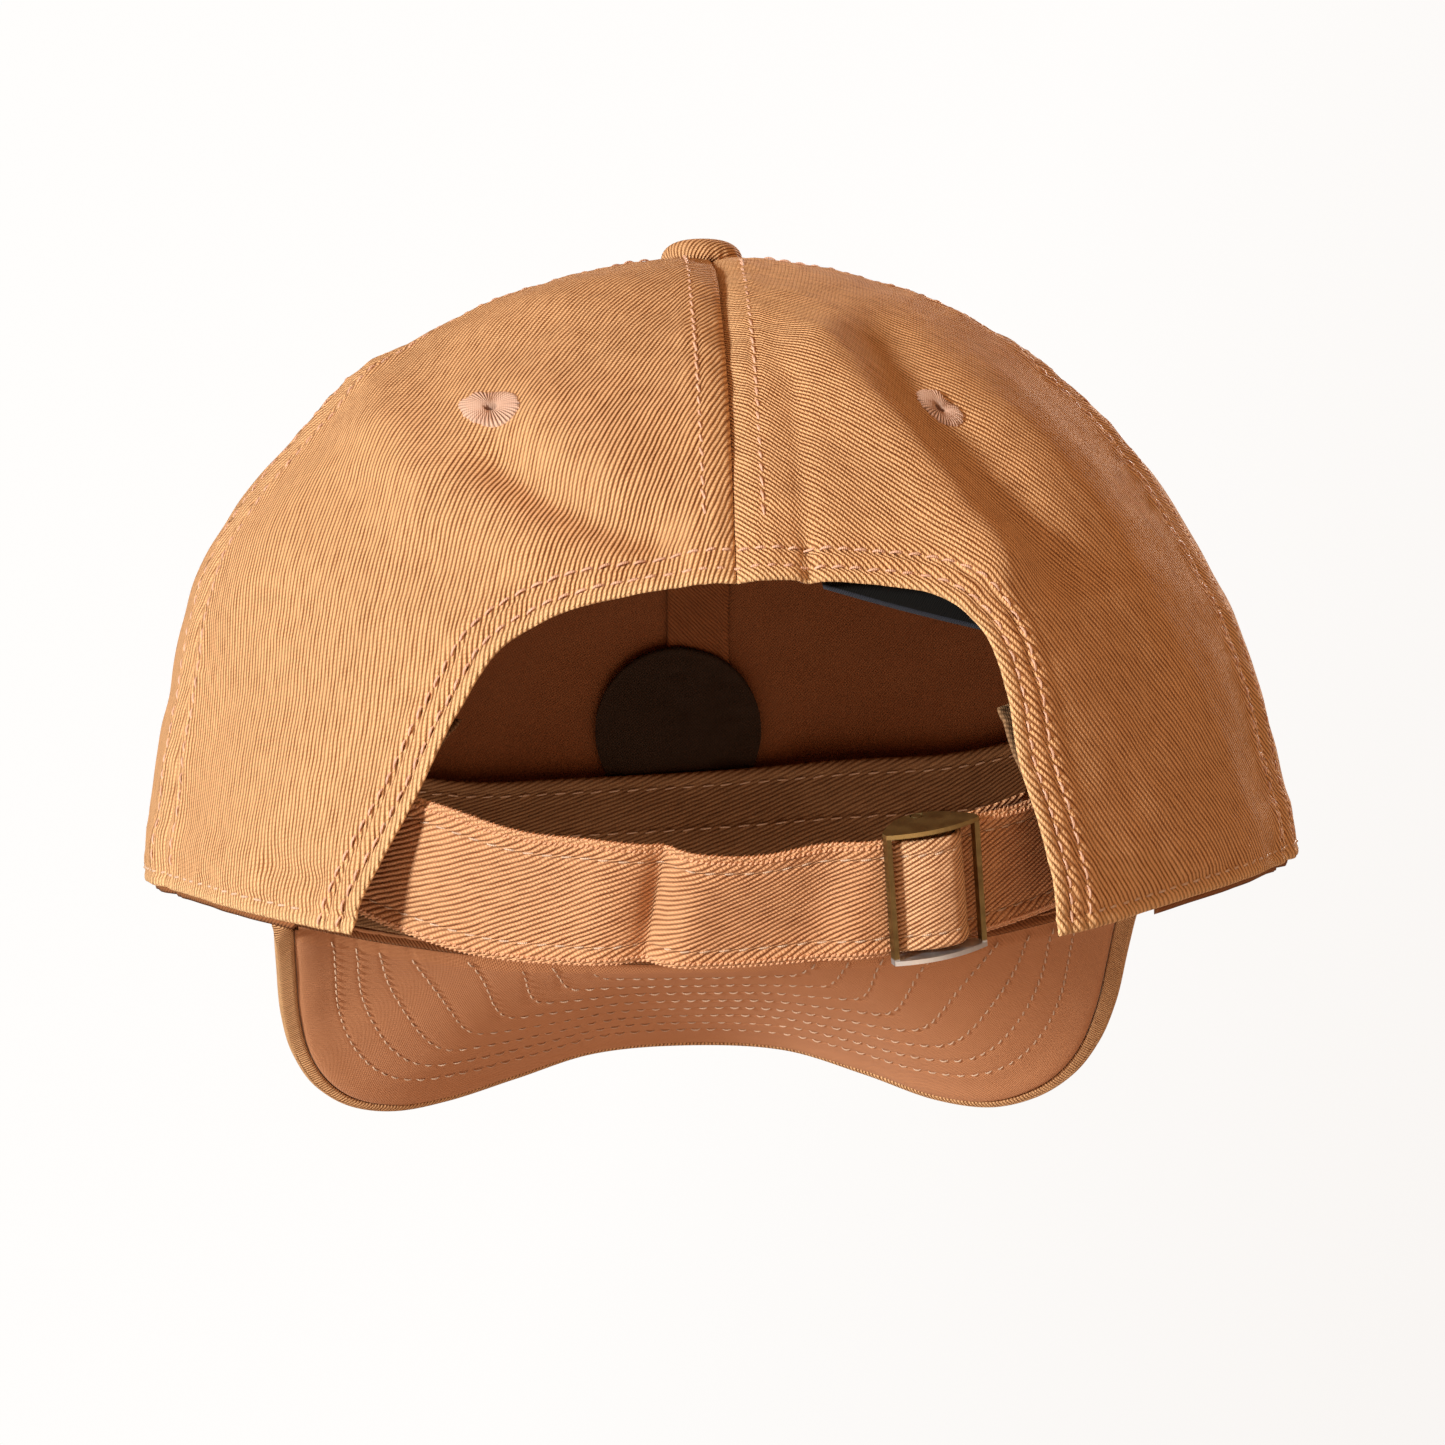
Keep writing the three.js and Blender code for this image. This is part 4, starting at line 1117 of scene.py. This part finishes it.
def visor_inward(u, distance):
    """How far along its lines the visor is a distance in from its edge, measured straight across."""
    u, distance = np.broadcast_arrays(u, distance)
    shares = np.linspace(0, 1, 50)
    inward = np.empty(u.shape)
    for row in range(len(u)):
        from_edge = shares * visor_reach(u[row, :1])[0]
        line = visor_points(u[row, 0], from_edge, 0)
        inward[row] = np.interp(distance[row], distance_to(line, VISOR_CURVE), from_edge)
    return inward


def row_spread(u):
    """How far apart the rows lie, as a share: they draw together along the visor's sides."""
    return mix(0.69, 1, smoothstep(np.minimum(u, 1 - u) * VISOR_LENGTH, 50, 105))


def visor_stitch_relief(points, u):
    """How deep the rows of stitches press into the visor's covers."""
    away = distance_to(points, VISOR_CURVE) / row_spread(u)
    return sum(bell(away, height=0.17, width=0.55, middle=row) for row in VISOR_ROWS)


def visor_uv(u, from_edge):
    """The visor's flat pattern, which draws together towards the rim."""
    across = (u - 0.5) * VISOR_LENGTH * (1 - from_edge / 260)
    return np.stack([across, from_edge], axis=-1)


def visor_top():
    """The top cover: from the rim over the board, round its edge and a little way under it."""
    u = spacing(VISOR_LENGTH, 1.3)[:, None]
    over = mix(VISOR_LIFT, visor_reach(u) + VISOR_TUCK, np.linspace(1, 0, 150)[None, :])
    bend = np.linspace(0, math.pi, 12)[None, 1:-1]
    under = np.maximum(visor_inward(u, np.linspace(0, TURN_UNDER, 8)[None, :]), VISOR_LIFT)
    wide = np.ones_like(u)
    from_edge = np.hstack([over, wide * VISOR_LIFT * (1 - np.sin(bend)), under])
    dents = visor_stitch_relief(visor_points(u, over, 0), u)
    below = np.full_like(under, -VISOR_LIFT)
    height = np.hstack([VISOR_LIFT - dents, wide * VISOR_LIFT * np.cos(bend), below])
    grid = visor_points(u, from_edge, height * visor_fullness(u))
    uv = visor_uv(u, np.hstack([over, wide * VISOR_LIFT * (1 - bend), -under - 2.5]))
    piece = cloth_piece(
        "visor_top_cloth", "cap", grid, VISOR_COVER, uv, [TWILLS[88]], (0, -110, -40),
        wear=bell(from_edge, height=0.35, width=1.2),
    )
    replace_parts(piece, "visor_top_cover")


def visor_board():
    """The stiff board inside the visor. It stops short of the covers' edges all round."""
    short_ends, short_edge, short_rim, narrowest = 0.025, 2.7, 5, 0.8
    u = mix(short_ends, 1 - short_ends, spacing(VISOR_LENGTH, 2.0))[:, None]
    inner = np.maximum(visor_reach(u) - short_rim, short_edge + narrowest)
    from_edge = mix(short_edge, inner, np.linspace(0, 1, 60)[None, :])
    grid, uv = visor_points(u, from_edge, 0), visor_uv(u, from_edge)
    board = cloth_piece("visor_board_sheet", "cap", grid, BOARD, uv, [PLASTIC], ABOVE_VISOR)
    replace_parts(board, "visor_board")


def visor_bottom():
    """The bottom cover, tucked up where it meets the turned-under edge and where it is sewn to the rim."""
    u = spacing(VISOR_LENGTH, 1.3)[:, None]
    start = visor_inward(u, np.full_like(u, TURN_UNDER + 0.1))
    reach = visor_reach(u)
    from_edge = mix(np.minimum(start, reach - 0.5), reach + VISOR_TUCK, np.linspace(0, 1, 150)[None, :])
    middle = visor_points(u, from_edge, 0)
    away = distance_to(middle, VISOR_CURVE) - TURN_UNDER
    tuck = bell(away, height=0.5, width=0.8) - bell(away, height=0.35, width=3.0, middle=3)
    sewn_in = 1.5 * smoothstep(from_edge, reach - 4, reach)
    height = -VISOR_LIFT + tuck + 0.10 * ripple(middle, 18, 9) + visor_stitch_relief(middle, u) + sewn_in
    grid, uv = visor_points(u, from_edge, height * visor_fullness(u)), visor_uv(u, from_edge)
    piece = cloth_piece(
        "visor_bottom_cloth", "cap", grid, VISOR_COVER, uv, [LINING], ABOVE_VISOR
    )
    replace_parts(piece, "visor_bottom_cover")


def visor_stitching():
    """The rows on both covers, smoothed along their length and cut off where they reach the rim."""
    across = np.linspace(0, 1, 500)[:, None]
    inward = visor_inward(across, np.array(VISOR_ROWS) * row_spread(across))
    reach = 15
    window = np.hanning(2 * reach + 1)
    padded = (np.pad(row, reach, "edge") for row in inward.T)
    inward = np.stack([np.convolve(row, window / window.sum(), "valid") for row in padded], axis=-1)
    covers = (("visor_top_stitching", 1, THREAD), ("visor_bottom_stitching", -1, PALE_THREAD))
    for name, side, thread in covers:
        rows = []
        for column in range(len(VISOR_ROWS)):
            kept = inward[:, column] < visor_reach(across[:, 0]) - 1.0
            u, distance = across[kept, 0], inward[kept, column]
            height = side * (VISOR_LIFT + VISOR_COVER - 0.06)
            line = visor_points(u, distance, height)
            normal = unit(line - visor_points(u, distance, height - side))
            rows.append((line, normal))
        stitches(name, "cap", rows, thread)


# ---------------------------------------------------------------- strap

STRAP_AXIS = np.array([0, math.sin(STRAP_TILT), math.cos(STRAP_TILT)])
STRAP_CENTRE = np.array([
    0,
    STRAP_LOWEST[0] - STRAP_RADIUS * math.cos(STRAP_TILT),
    STRAP_LOWEST[1] + STRAP_RADIUS * math.sin(STRAP_TILT),
])


def strap_frame(around):
    """The strap's radial, across and out directions at an angle round its axis."""
    around = np.asarray(around, float)
    radial = np.stack([
        np.sin(around), np.cos(around) * math.cos(STRAP_TILT), -np.cos(around) * math.sin(STRAP_TILT),
    ], axis=-1)
    across = STRAP_AXIS * math.cos(STRAP_TAPER) - radial * math.sin(STRAP_TAPER)
    out = radial * math.cos(STRAP_TAPER) + STRAP_AXIS * math.sin(STRAP_TAPER)
    return radial, across, out


def strap_points(around, up, outward):
    """Points of the strap's cone: up across it from its lower edge, and outward from its face."""
    radial, across, out = strap_frame(around)
    up, outward = np.broadcast_arrays(np.asarray(up, float), np.asarray(outward, float))
    return STRAP_CENTRE + radial * STRAP_RADIUS + across * up[..., None] + out * outward[..., None]


WAVE_CURVE = smooth_curve(STRAP_WAVES, 12)
FOLD_CURVE = smooth_curve(STRAP_FOLD)


def strap_wave(around, up):
    """How far the strap's cloth stands out: waves along it, corded edges and its rows of stitches."""
    share = up / STRAP_WIDTH
    order = np.argsort(WAVE_CURVE[:, 0])
    leaning = around * STRAP_RADIUS + (share - 0.5) * 3.0
    wave = np.interp(leaning, WAVE_CURVE[order, 0], WAVE_CURVE[order, 1])
    edge = np.minimum(up, STRAP_WIDTH - up)
    cord = bell(edge, height=0.28, width=1.0, middle=1.4)
    return wave * (0.55 + 0.45 * np.sin(share * math.pi)) + cord - bell(edge, 0.3, 0.5, STRAP_ROWS[0])


def strap_edge_dip(around, up):
    """How far the top edge sags between the waves, and the lower one towards the left end."""
    place = around * STRAP_RADIUS
    share = np.clip(up / STRAP_WIDTH, 0, 1)
    sag = bell(place, height=1.5, width=9, middle=-4) + 0.4 * np.sin(place / 5.0)
    return -sag * smoothstep(share, 0.35, 1.0) - 3.4 * smoothstep(place, 12, 50) * (1 - share)


def strap_surface(around, up, lift=0.0):
    outward = strap_wave(around, up) - STRAP_HALF + lift
    return strap_points(around, up + strap_edge_dip(around, up), outward)


def strap_row(up, margin, count, lift=STRAP_HALF):
    """A line along the strap at a place across it, with its normals. margin is in degrees."""
    turn = np.radians(np.linspace(STRAP_FROM + margin, STRAP_TO - margin, count))
    return strap_surface(turn, np.full_like(turn, up), lift), strap_frame(turn)[2]


def strap():
    """The strap, its two rows of stitches, and its folded edges, where the yarns turn over like a cord."""
    around = np.radians(mix(STRAP_FROM, STRAP_TO, spacing(170, 0.8)))[None, :]
    up = (spacing(STRAP_WIDTH, 0.6, fine=0.12) * STRAP_WIDTH)[:, None]
    around, up = np.broadcast_arrays(around, up)
    grid = strap_surface(around, up)
    uv = np.stack([-around * STRAP_RADIUS, up], axis=-1)
    piece = cloth_piece(
        "strap_cloth", "strap", grid, STRAP_HALF, uv, [STRAP_TWILL], STRAP_CENTRE,
        wear=bell(np.minimum(up, STRAP_WIDTH - up), height=0.5, width=0.9),
    )
    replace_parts(piece, "strap")
    rows = [strap_row(up, 2, 400) for up in STRAP_ROWS]
    stitches("strap_stitching", "strap", rows, PALE_THREAD)
    cords = [
        strap_row(up, 1, 500, STRAP_HALF - drop)
        for inset, drop in ((0.15, 0.55), (0.95, 0.12)) for up in (inset, STRAP_WIDTH - inset)
    ]
    stitches("strap_corded_edges", "strap", cords, CORD_THREAD)


def strap_window():
    """The fold of strap that stands out through the buckle, where the strap turns round its bar."""
    half = (BUCKLE["half_width"] - 1.6) / STRAP_RADIUS
    share = spacing(14, 0.35, fine=0.1)[None, :]
    up = mix(0.5, STRAP_WIDTH - 0.5, spacing(STRAP_WIDTH, 0.6, fine=0.12))[:, None]
    share, up = np.broadcast_arrays(share, up)
    around = BUCKLE_AROUND + mix(half, 0.8 / STRAP_RADIUS - half, share)
    bulge = np.interp(share, FOLD_CURVE[:, 0], FOLD_CURVE[:, 1])
    edge = np.minimum(up, STRAP_WIDTH - up)
    bulge = bulge + bell(edge, height=0.2, width=1.0, middle=1.6) - bell(edge, 0.25, 0.5, STRAP_ROWS[0])
    grid = strap_points(around, up, bulge)
    uv = np.stack([-around * STRAP_RADIUS * 1.2, up], axis=-1)
    # The fold takes the paler, lit copy of the strap's twill: painted light.
    cloth_piece(
        "strap_fold_in_buckle", "buckle", grid, FOLD_HALF, uv, [LIT_FOLD_TWILL], STRAP_CENTRE
    )
    rows = []
    for place in STRAP_ROWS:
        row = int(np.argmin(np.abs(up[:, 0] - place)))
        out = strap_frame(around[row])[2]
        rows.append((grid[row] + out * 0.5, out))
    stitches("buckle_fold_stitching", "buckle", rows, PALE_THREAD)


def buckle_loop():
    """The short strap that holds the buckle's centre bar, and comes back under the right panel."""
    bend, legs, length, radius = 14, 26, 26.0, 1.65
    steps = np.arange(bend + 2 * legs + 1)[None, :]
    up = mix(1.0, STRAP_WIDTH - 1.0, spacing(18.4, 0.9, fine=0.12))[:, None]
    turn = np.clip((steps - legs) / bend, 0, 1) * math.pi
    leg = np.maximum(np.maximum(legs - steps, steps - legs - bend), 0) / legs
    aside = radius * np.sin(turn) - length * leg
    outward = -BUCKLE["bar_depth"] + radius * np.cos(turn)
    up, aside, outward = np.broadcast_arrays(up, aside, outward)
    grid = strap_points(BUCKLE_AROUND + aside / STRAP_RADIUS, up, outward)
    uv = np.stack(np.broadcast_arrays(along_of(grid[0])[None, :], up), axis=-1)
    piece = cloth_piece(
        "buckle_loop_cloth", "cap", grid, LOOP_HALF, uv, [STRAP_TWILL], STRAP_CENTRE
    )
    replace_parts(piece, "buckle_loop")


def finish_metal(node, material, bevel):
    """Keeps a CAD node's own shape, with its edges eased and a metal finish."""
    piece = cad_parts[node]
    piece.data.materials.clear()
    piece.data.materials.append(material)
    ease = piece.modifiers.new("eased_edges", "BEVEL")
    ease.width, ease.segments, ease.limit_method = bevel * MM, 3, "ANGLE"
    ease.angle_limit = math.radians(35)
    ease.harden_normals = True
    piece.data.polygons.foreach_set("use_smooth", np.ones(len(piece.data.polygons), bool))


BUCKLE_UP = strap_frame(BUCKLE_AROUND)[1]
BUCKLE_MIDDLE = float(strap_points(BUCKLE_AROUND, STRAP_WIDTH / 2, 0) @ BUCKLE_UP)
BUCKLE_HIGHLIGHT_STARTS = (BUCKLE_MIDDLE - BUCKLE["painted_highlight"], BUCKLE_MIDDLE + BUCKLE["painted_highlight"])
# Both ends of the buckle get painted highlights where the plates catch the light, the foot a pale one; the
# walls between keep the plain brass.
BRASS = brushed_metal(
    "antique_brass", (0.36, 0.275, 0.12), (0.17, 0.12, 0.05), roughness=0.38,
    painted_lit_ends=(BUCKLE_UP, *BUCKLE_HIGHLIGHT_STARTS, (0.74, 0.80, 0.86)),
)

# ---------------------------------------------------------------- stage, lights and camera

# Colours of the floor's glow, from the wearer's left to the wearer's right.
FLOOR_GLOW = [(0.0, (1.0, 0.99, 0.975)), (0.55, (1.0, 0.985, 0.97)), (1.0, (0.90, 0.86, 0.83))]
FLOOR = {"radius": 3.6, "bend": 1.6, "level": -1.2, "wall_top": 3.4, "sides": 96}  # in metres
SKY, SKY_COLOUR = 0.46, (1.0, 0.49, 0.24)
LIGHTS = {  # place and size in metres, power in watts, and colour
    "key": ((1.22, 1.08, 0.2), 0.24, 36, (0.96, 1.0, 0.98)),
    "top": ((-0.6, 0.75, 1.0), 0.5, 2.6, (1.0, 0.76, 0.46)),
    "front": ((-0.6, -1.3, 0.6), 0.6, 24, (1.0, 0.97, 0.93)),
    "fill": ((-0.35, 1.1, -0.75), 1.1, 2.4, (1.0, 0.66, 0.42)),
}
LIGHTS_AIM = (0, 0, 0.04)


def stage():
    """A plain pale floor that curves up into a wall all round. It glows for the camera only."""
    radius, bend = FLOOR["radius"], FLOOR["bend"]
    profile = [(0.001, 0.0), (2.0, 0.0), (radius, 0.0)]
    for turn in np.linspace(0.1, math.pi / 2, 16):
        profile.append((radius + bend * math.sin(turn), bend - bend * math.cos(turn)))
    profile.append((radius + bend, FLOOR["wall_top"]))
    around = np.linspace(0, TURN, FLOOR["sides"], endpoint=False)
    points = [(r * math.cos(a), r * math.sin(a), z + FLOOR["level"]) for r, z in profile for a in around]
    mesh = bpy.data.meshes.new("floor")
    mesh.from_pydata(points, [], grid_faces(len(profile), FLOOR["sides"], closed=True).tolist())
    mesh.polygons.foreach_set("use_smooth", np.ones(len(mesh.polygons), bool))
    nodes = Nodes("pale_floor", roughness=0.9)
    seen = nodes.node("ShaderNodeLightPath").outputs["Is Camera Ray"]
    place = nodes.node("ShaderNodeSeparateXYZ", {0: nodes.node("ShaderNodeTexCoord").outputs["Object"]})
    across = nodes.math("MULTIPLY_ADD", place.outputs[0], -0.25, 0.5)
    glow = nodes.ramp(nodes.math("MULTIPLY_ADD", place.outputs[2], -0.12, across), FLOOR_GLOW)
    bounced = nodes.mix(seen, (0.66, 0.63, 0.6, 1), (0, 0, 0, 1))
    nodes.tree.links.new(bounced, nodes.shader.inputs["Base Color"])
    nodes.tree.links.new(glow, nodes.shader.inputs["Emission Color"])
    nodes.tree.links.new(seen, nodes.shader.inputs["Emission Strength"])
    nodes.shader.inputs["Specular IOR Level"].default_value = 0
    mesh.materials.append(nodes.material)
    floor = bpy.data.objects.new("floor", mesh)
    bpy.context.scene.collection.objects.link(floor)


def area_light(name, place, size, power, colour):
    light = bpy.data.lights.new(name, "AREA")
    light.shape, light.size, light.energy, light.color = "DISK", size, power, colour
    lamp = bpy.data.objects.new(name, light)
    bpy.context.scene.collection.objects.link(lamp)
    lamp.location = place
    lamp.rotation_euler = (Vector(LIGHTS_AIM) - Vector(place)).to_track_quat("-Z", "Y").to_euler()


def lights():
    """The lamps, and a warm sky that the camera sees as the far end of the floor's glow."""
    world = bpy.data.worlds.new("studio")
    bpy.context.scene.world = world
    world.use_nodes = True
    tree = world.node_tree
    sky = tree.nodes["Background"]
    sky.inputs["Color"].default_value = (*SKY_COLOUR, 1)
    sky.inputs["Strength"].default_value = SKY
    backdrop = tree.nodes.new("ShaderNodeBackground")
    backdrop.inputs["Color"].default_value = (*FLOOR_GLOW[-1][1], 1)
    chosen = tree.nodes.new("ShaderNodeMixShader")
    tree.links.new(tree.nodes.new("ShaderNodeLightPath").outputs["Is Camera Ray"], chosen.inputs[0])
    tree.links.new(sky.outputs[0], chosen.inputs[1])
    tree.links.new(backdrop.outputs[0], chosen.inputs[2])
    tree.links.new(chosen.outputs[0], tree.nodes["World Output"].inputs["Surface"])
    for name, settings in LIGHTS.items():
        area_light(name, *settings)


def camera():
    """Behind the cap and a little below it, turned and tipped as the reference view is."""
    yaw, roll, pitch = math.radians(2.7), math.radians(-1.0), math.radians(1.876)
    distance, height, aside = 1.073, 0.0075, 0.0008
    right = Vector((-math.cos(yaw), math.sin(yaw), 0))
    level = Vector((-math.sin(yaw), -math.cos(yaw), 0))
    upright = Vector((0, 0, 1))
    ahead = level * math.cos(pitch) + upright * math.sin(pitch)
    up = upright * math.cos(pitch) - level * math.sin(pitch)
    rolled_right = right * math.cos(roll) + up * math.sin(roll)
    rolled_up = up * math.cos(roll) - right * math.sin(roll)
    behind = Vector((math.sin(yaw) * distance, math.cos(yaw) * distance, height))
    lens = bpy.data.cameras.new("camera")
    lens.sensor_width, lens.lens = 36, 149.48
    eye = bpy.data.objects.new("camera", lens)
    bpy.context.scene.collection.objects.link(eye)
    turned = Matrix((rolled_right, rolled_up, -ahead)).transposed().to_4x4()
    eye.matrix_world = Matrix.Translation(behind + right * aside) @ turned
    bpy.context.scene.camera = eye


# ---------------------------------------------------------------- the cap

camera()
lights()
stage()
bpy.context.scene.view_settings.view_transform = "Standard"

for panel in PANELS:
    crown_panel(panel)
for panel in PANELS:
    eyelet_ring(panel)
crown_stitching()
seam_tapes()
opening_facing()
rim_tape()
sweatband()
patch()
label()
button()
visor_board()
visor_top()
visor_bottom()
visor_stitching()
strap()
strap_window()
buckle_loop()
finish_metal("buckle_frame", BRASS, 0.22)
finish_metal("buckle_centre_bar", BRASS, 0.15)
finish_metal("button_core", STEEL, 0.2)
finish_metal("button_back_cap", STEEL, 0.15)
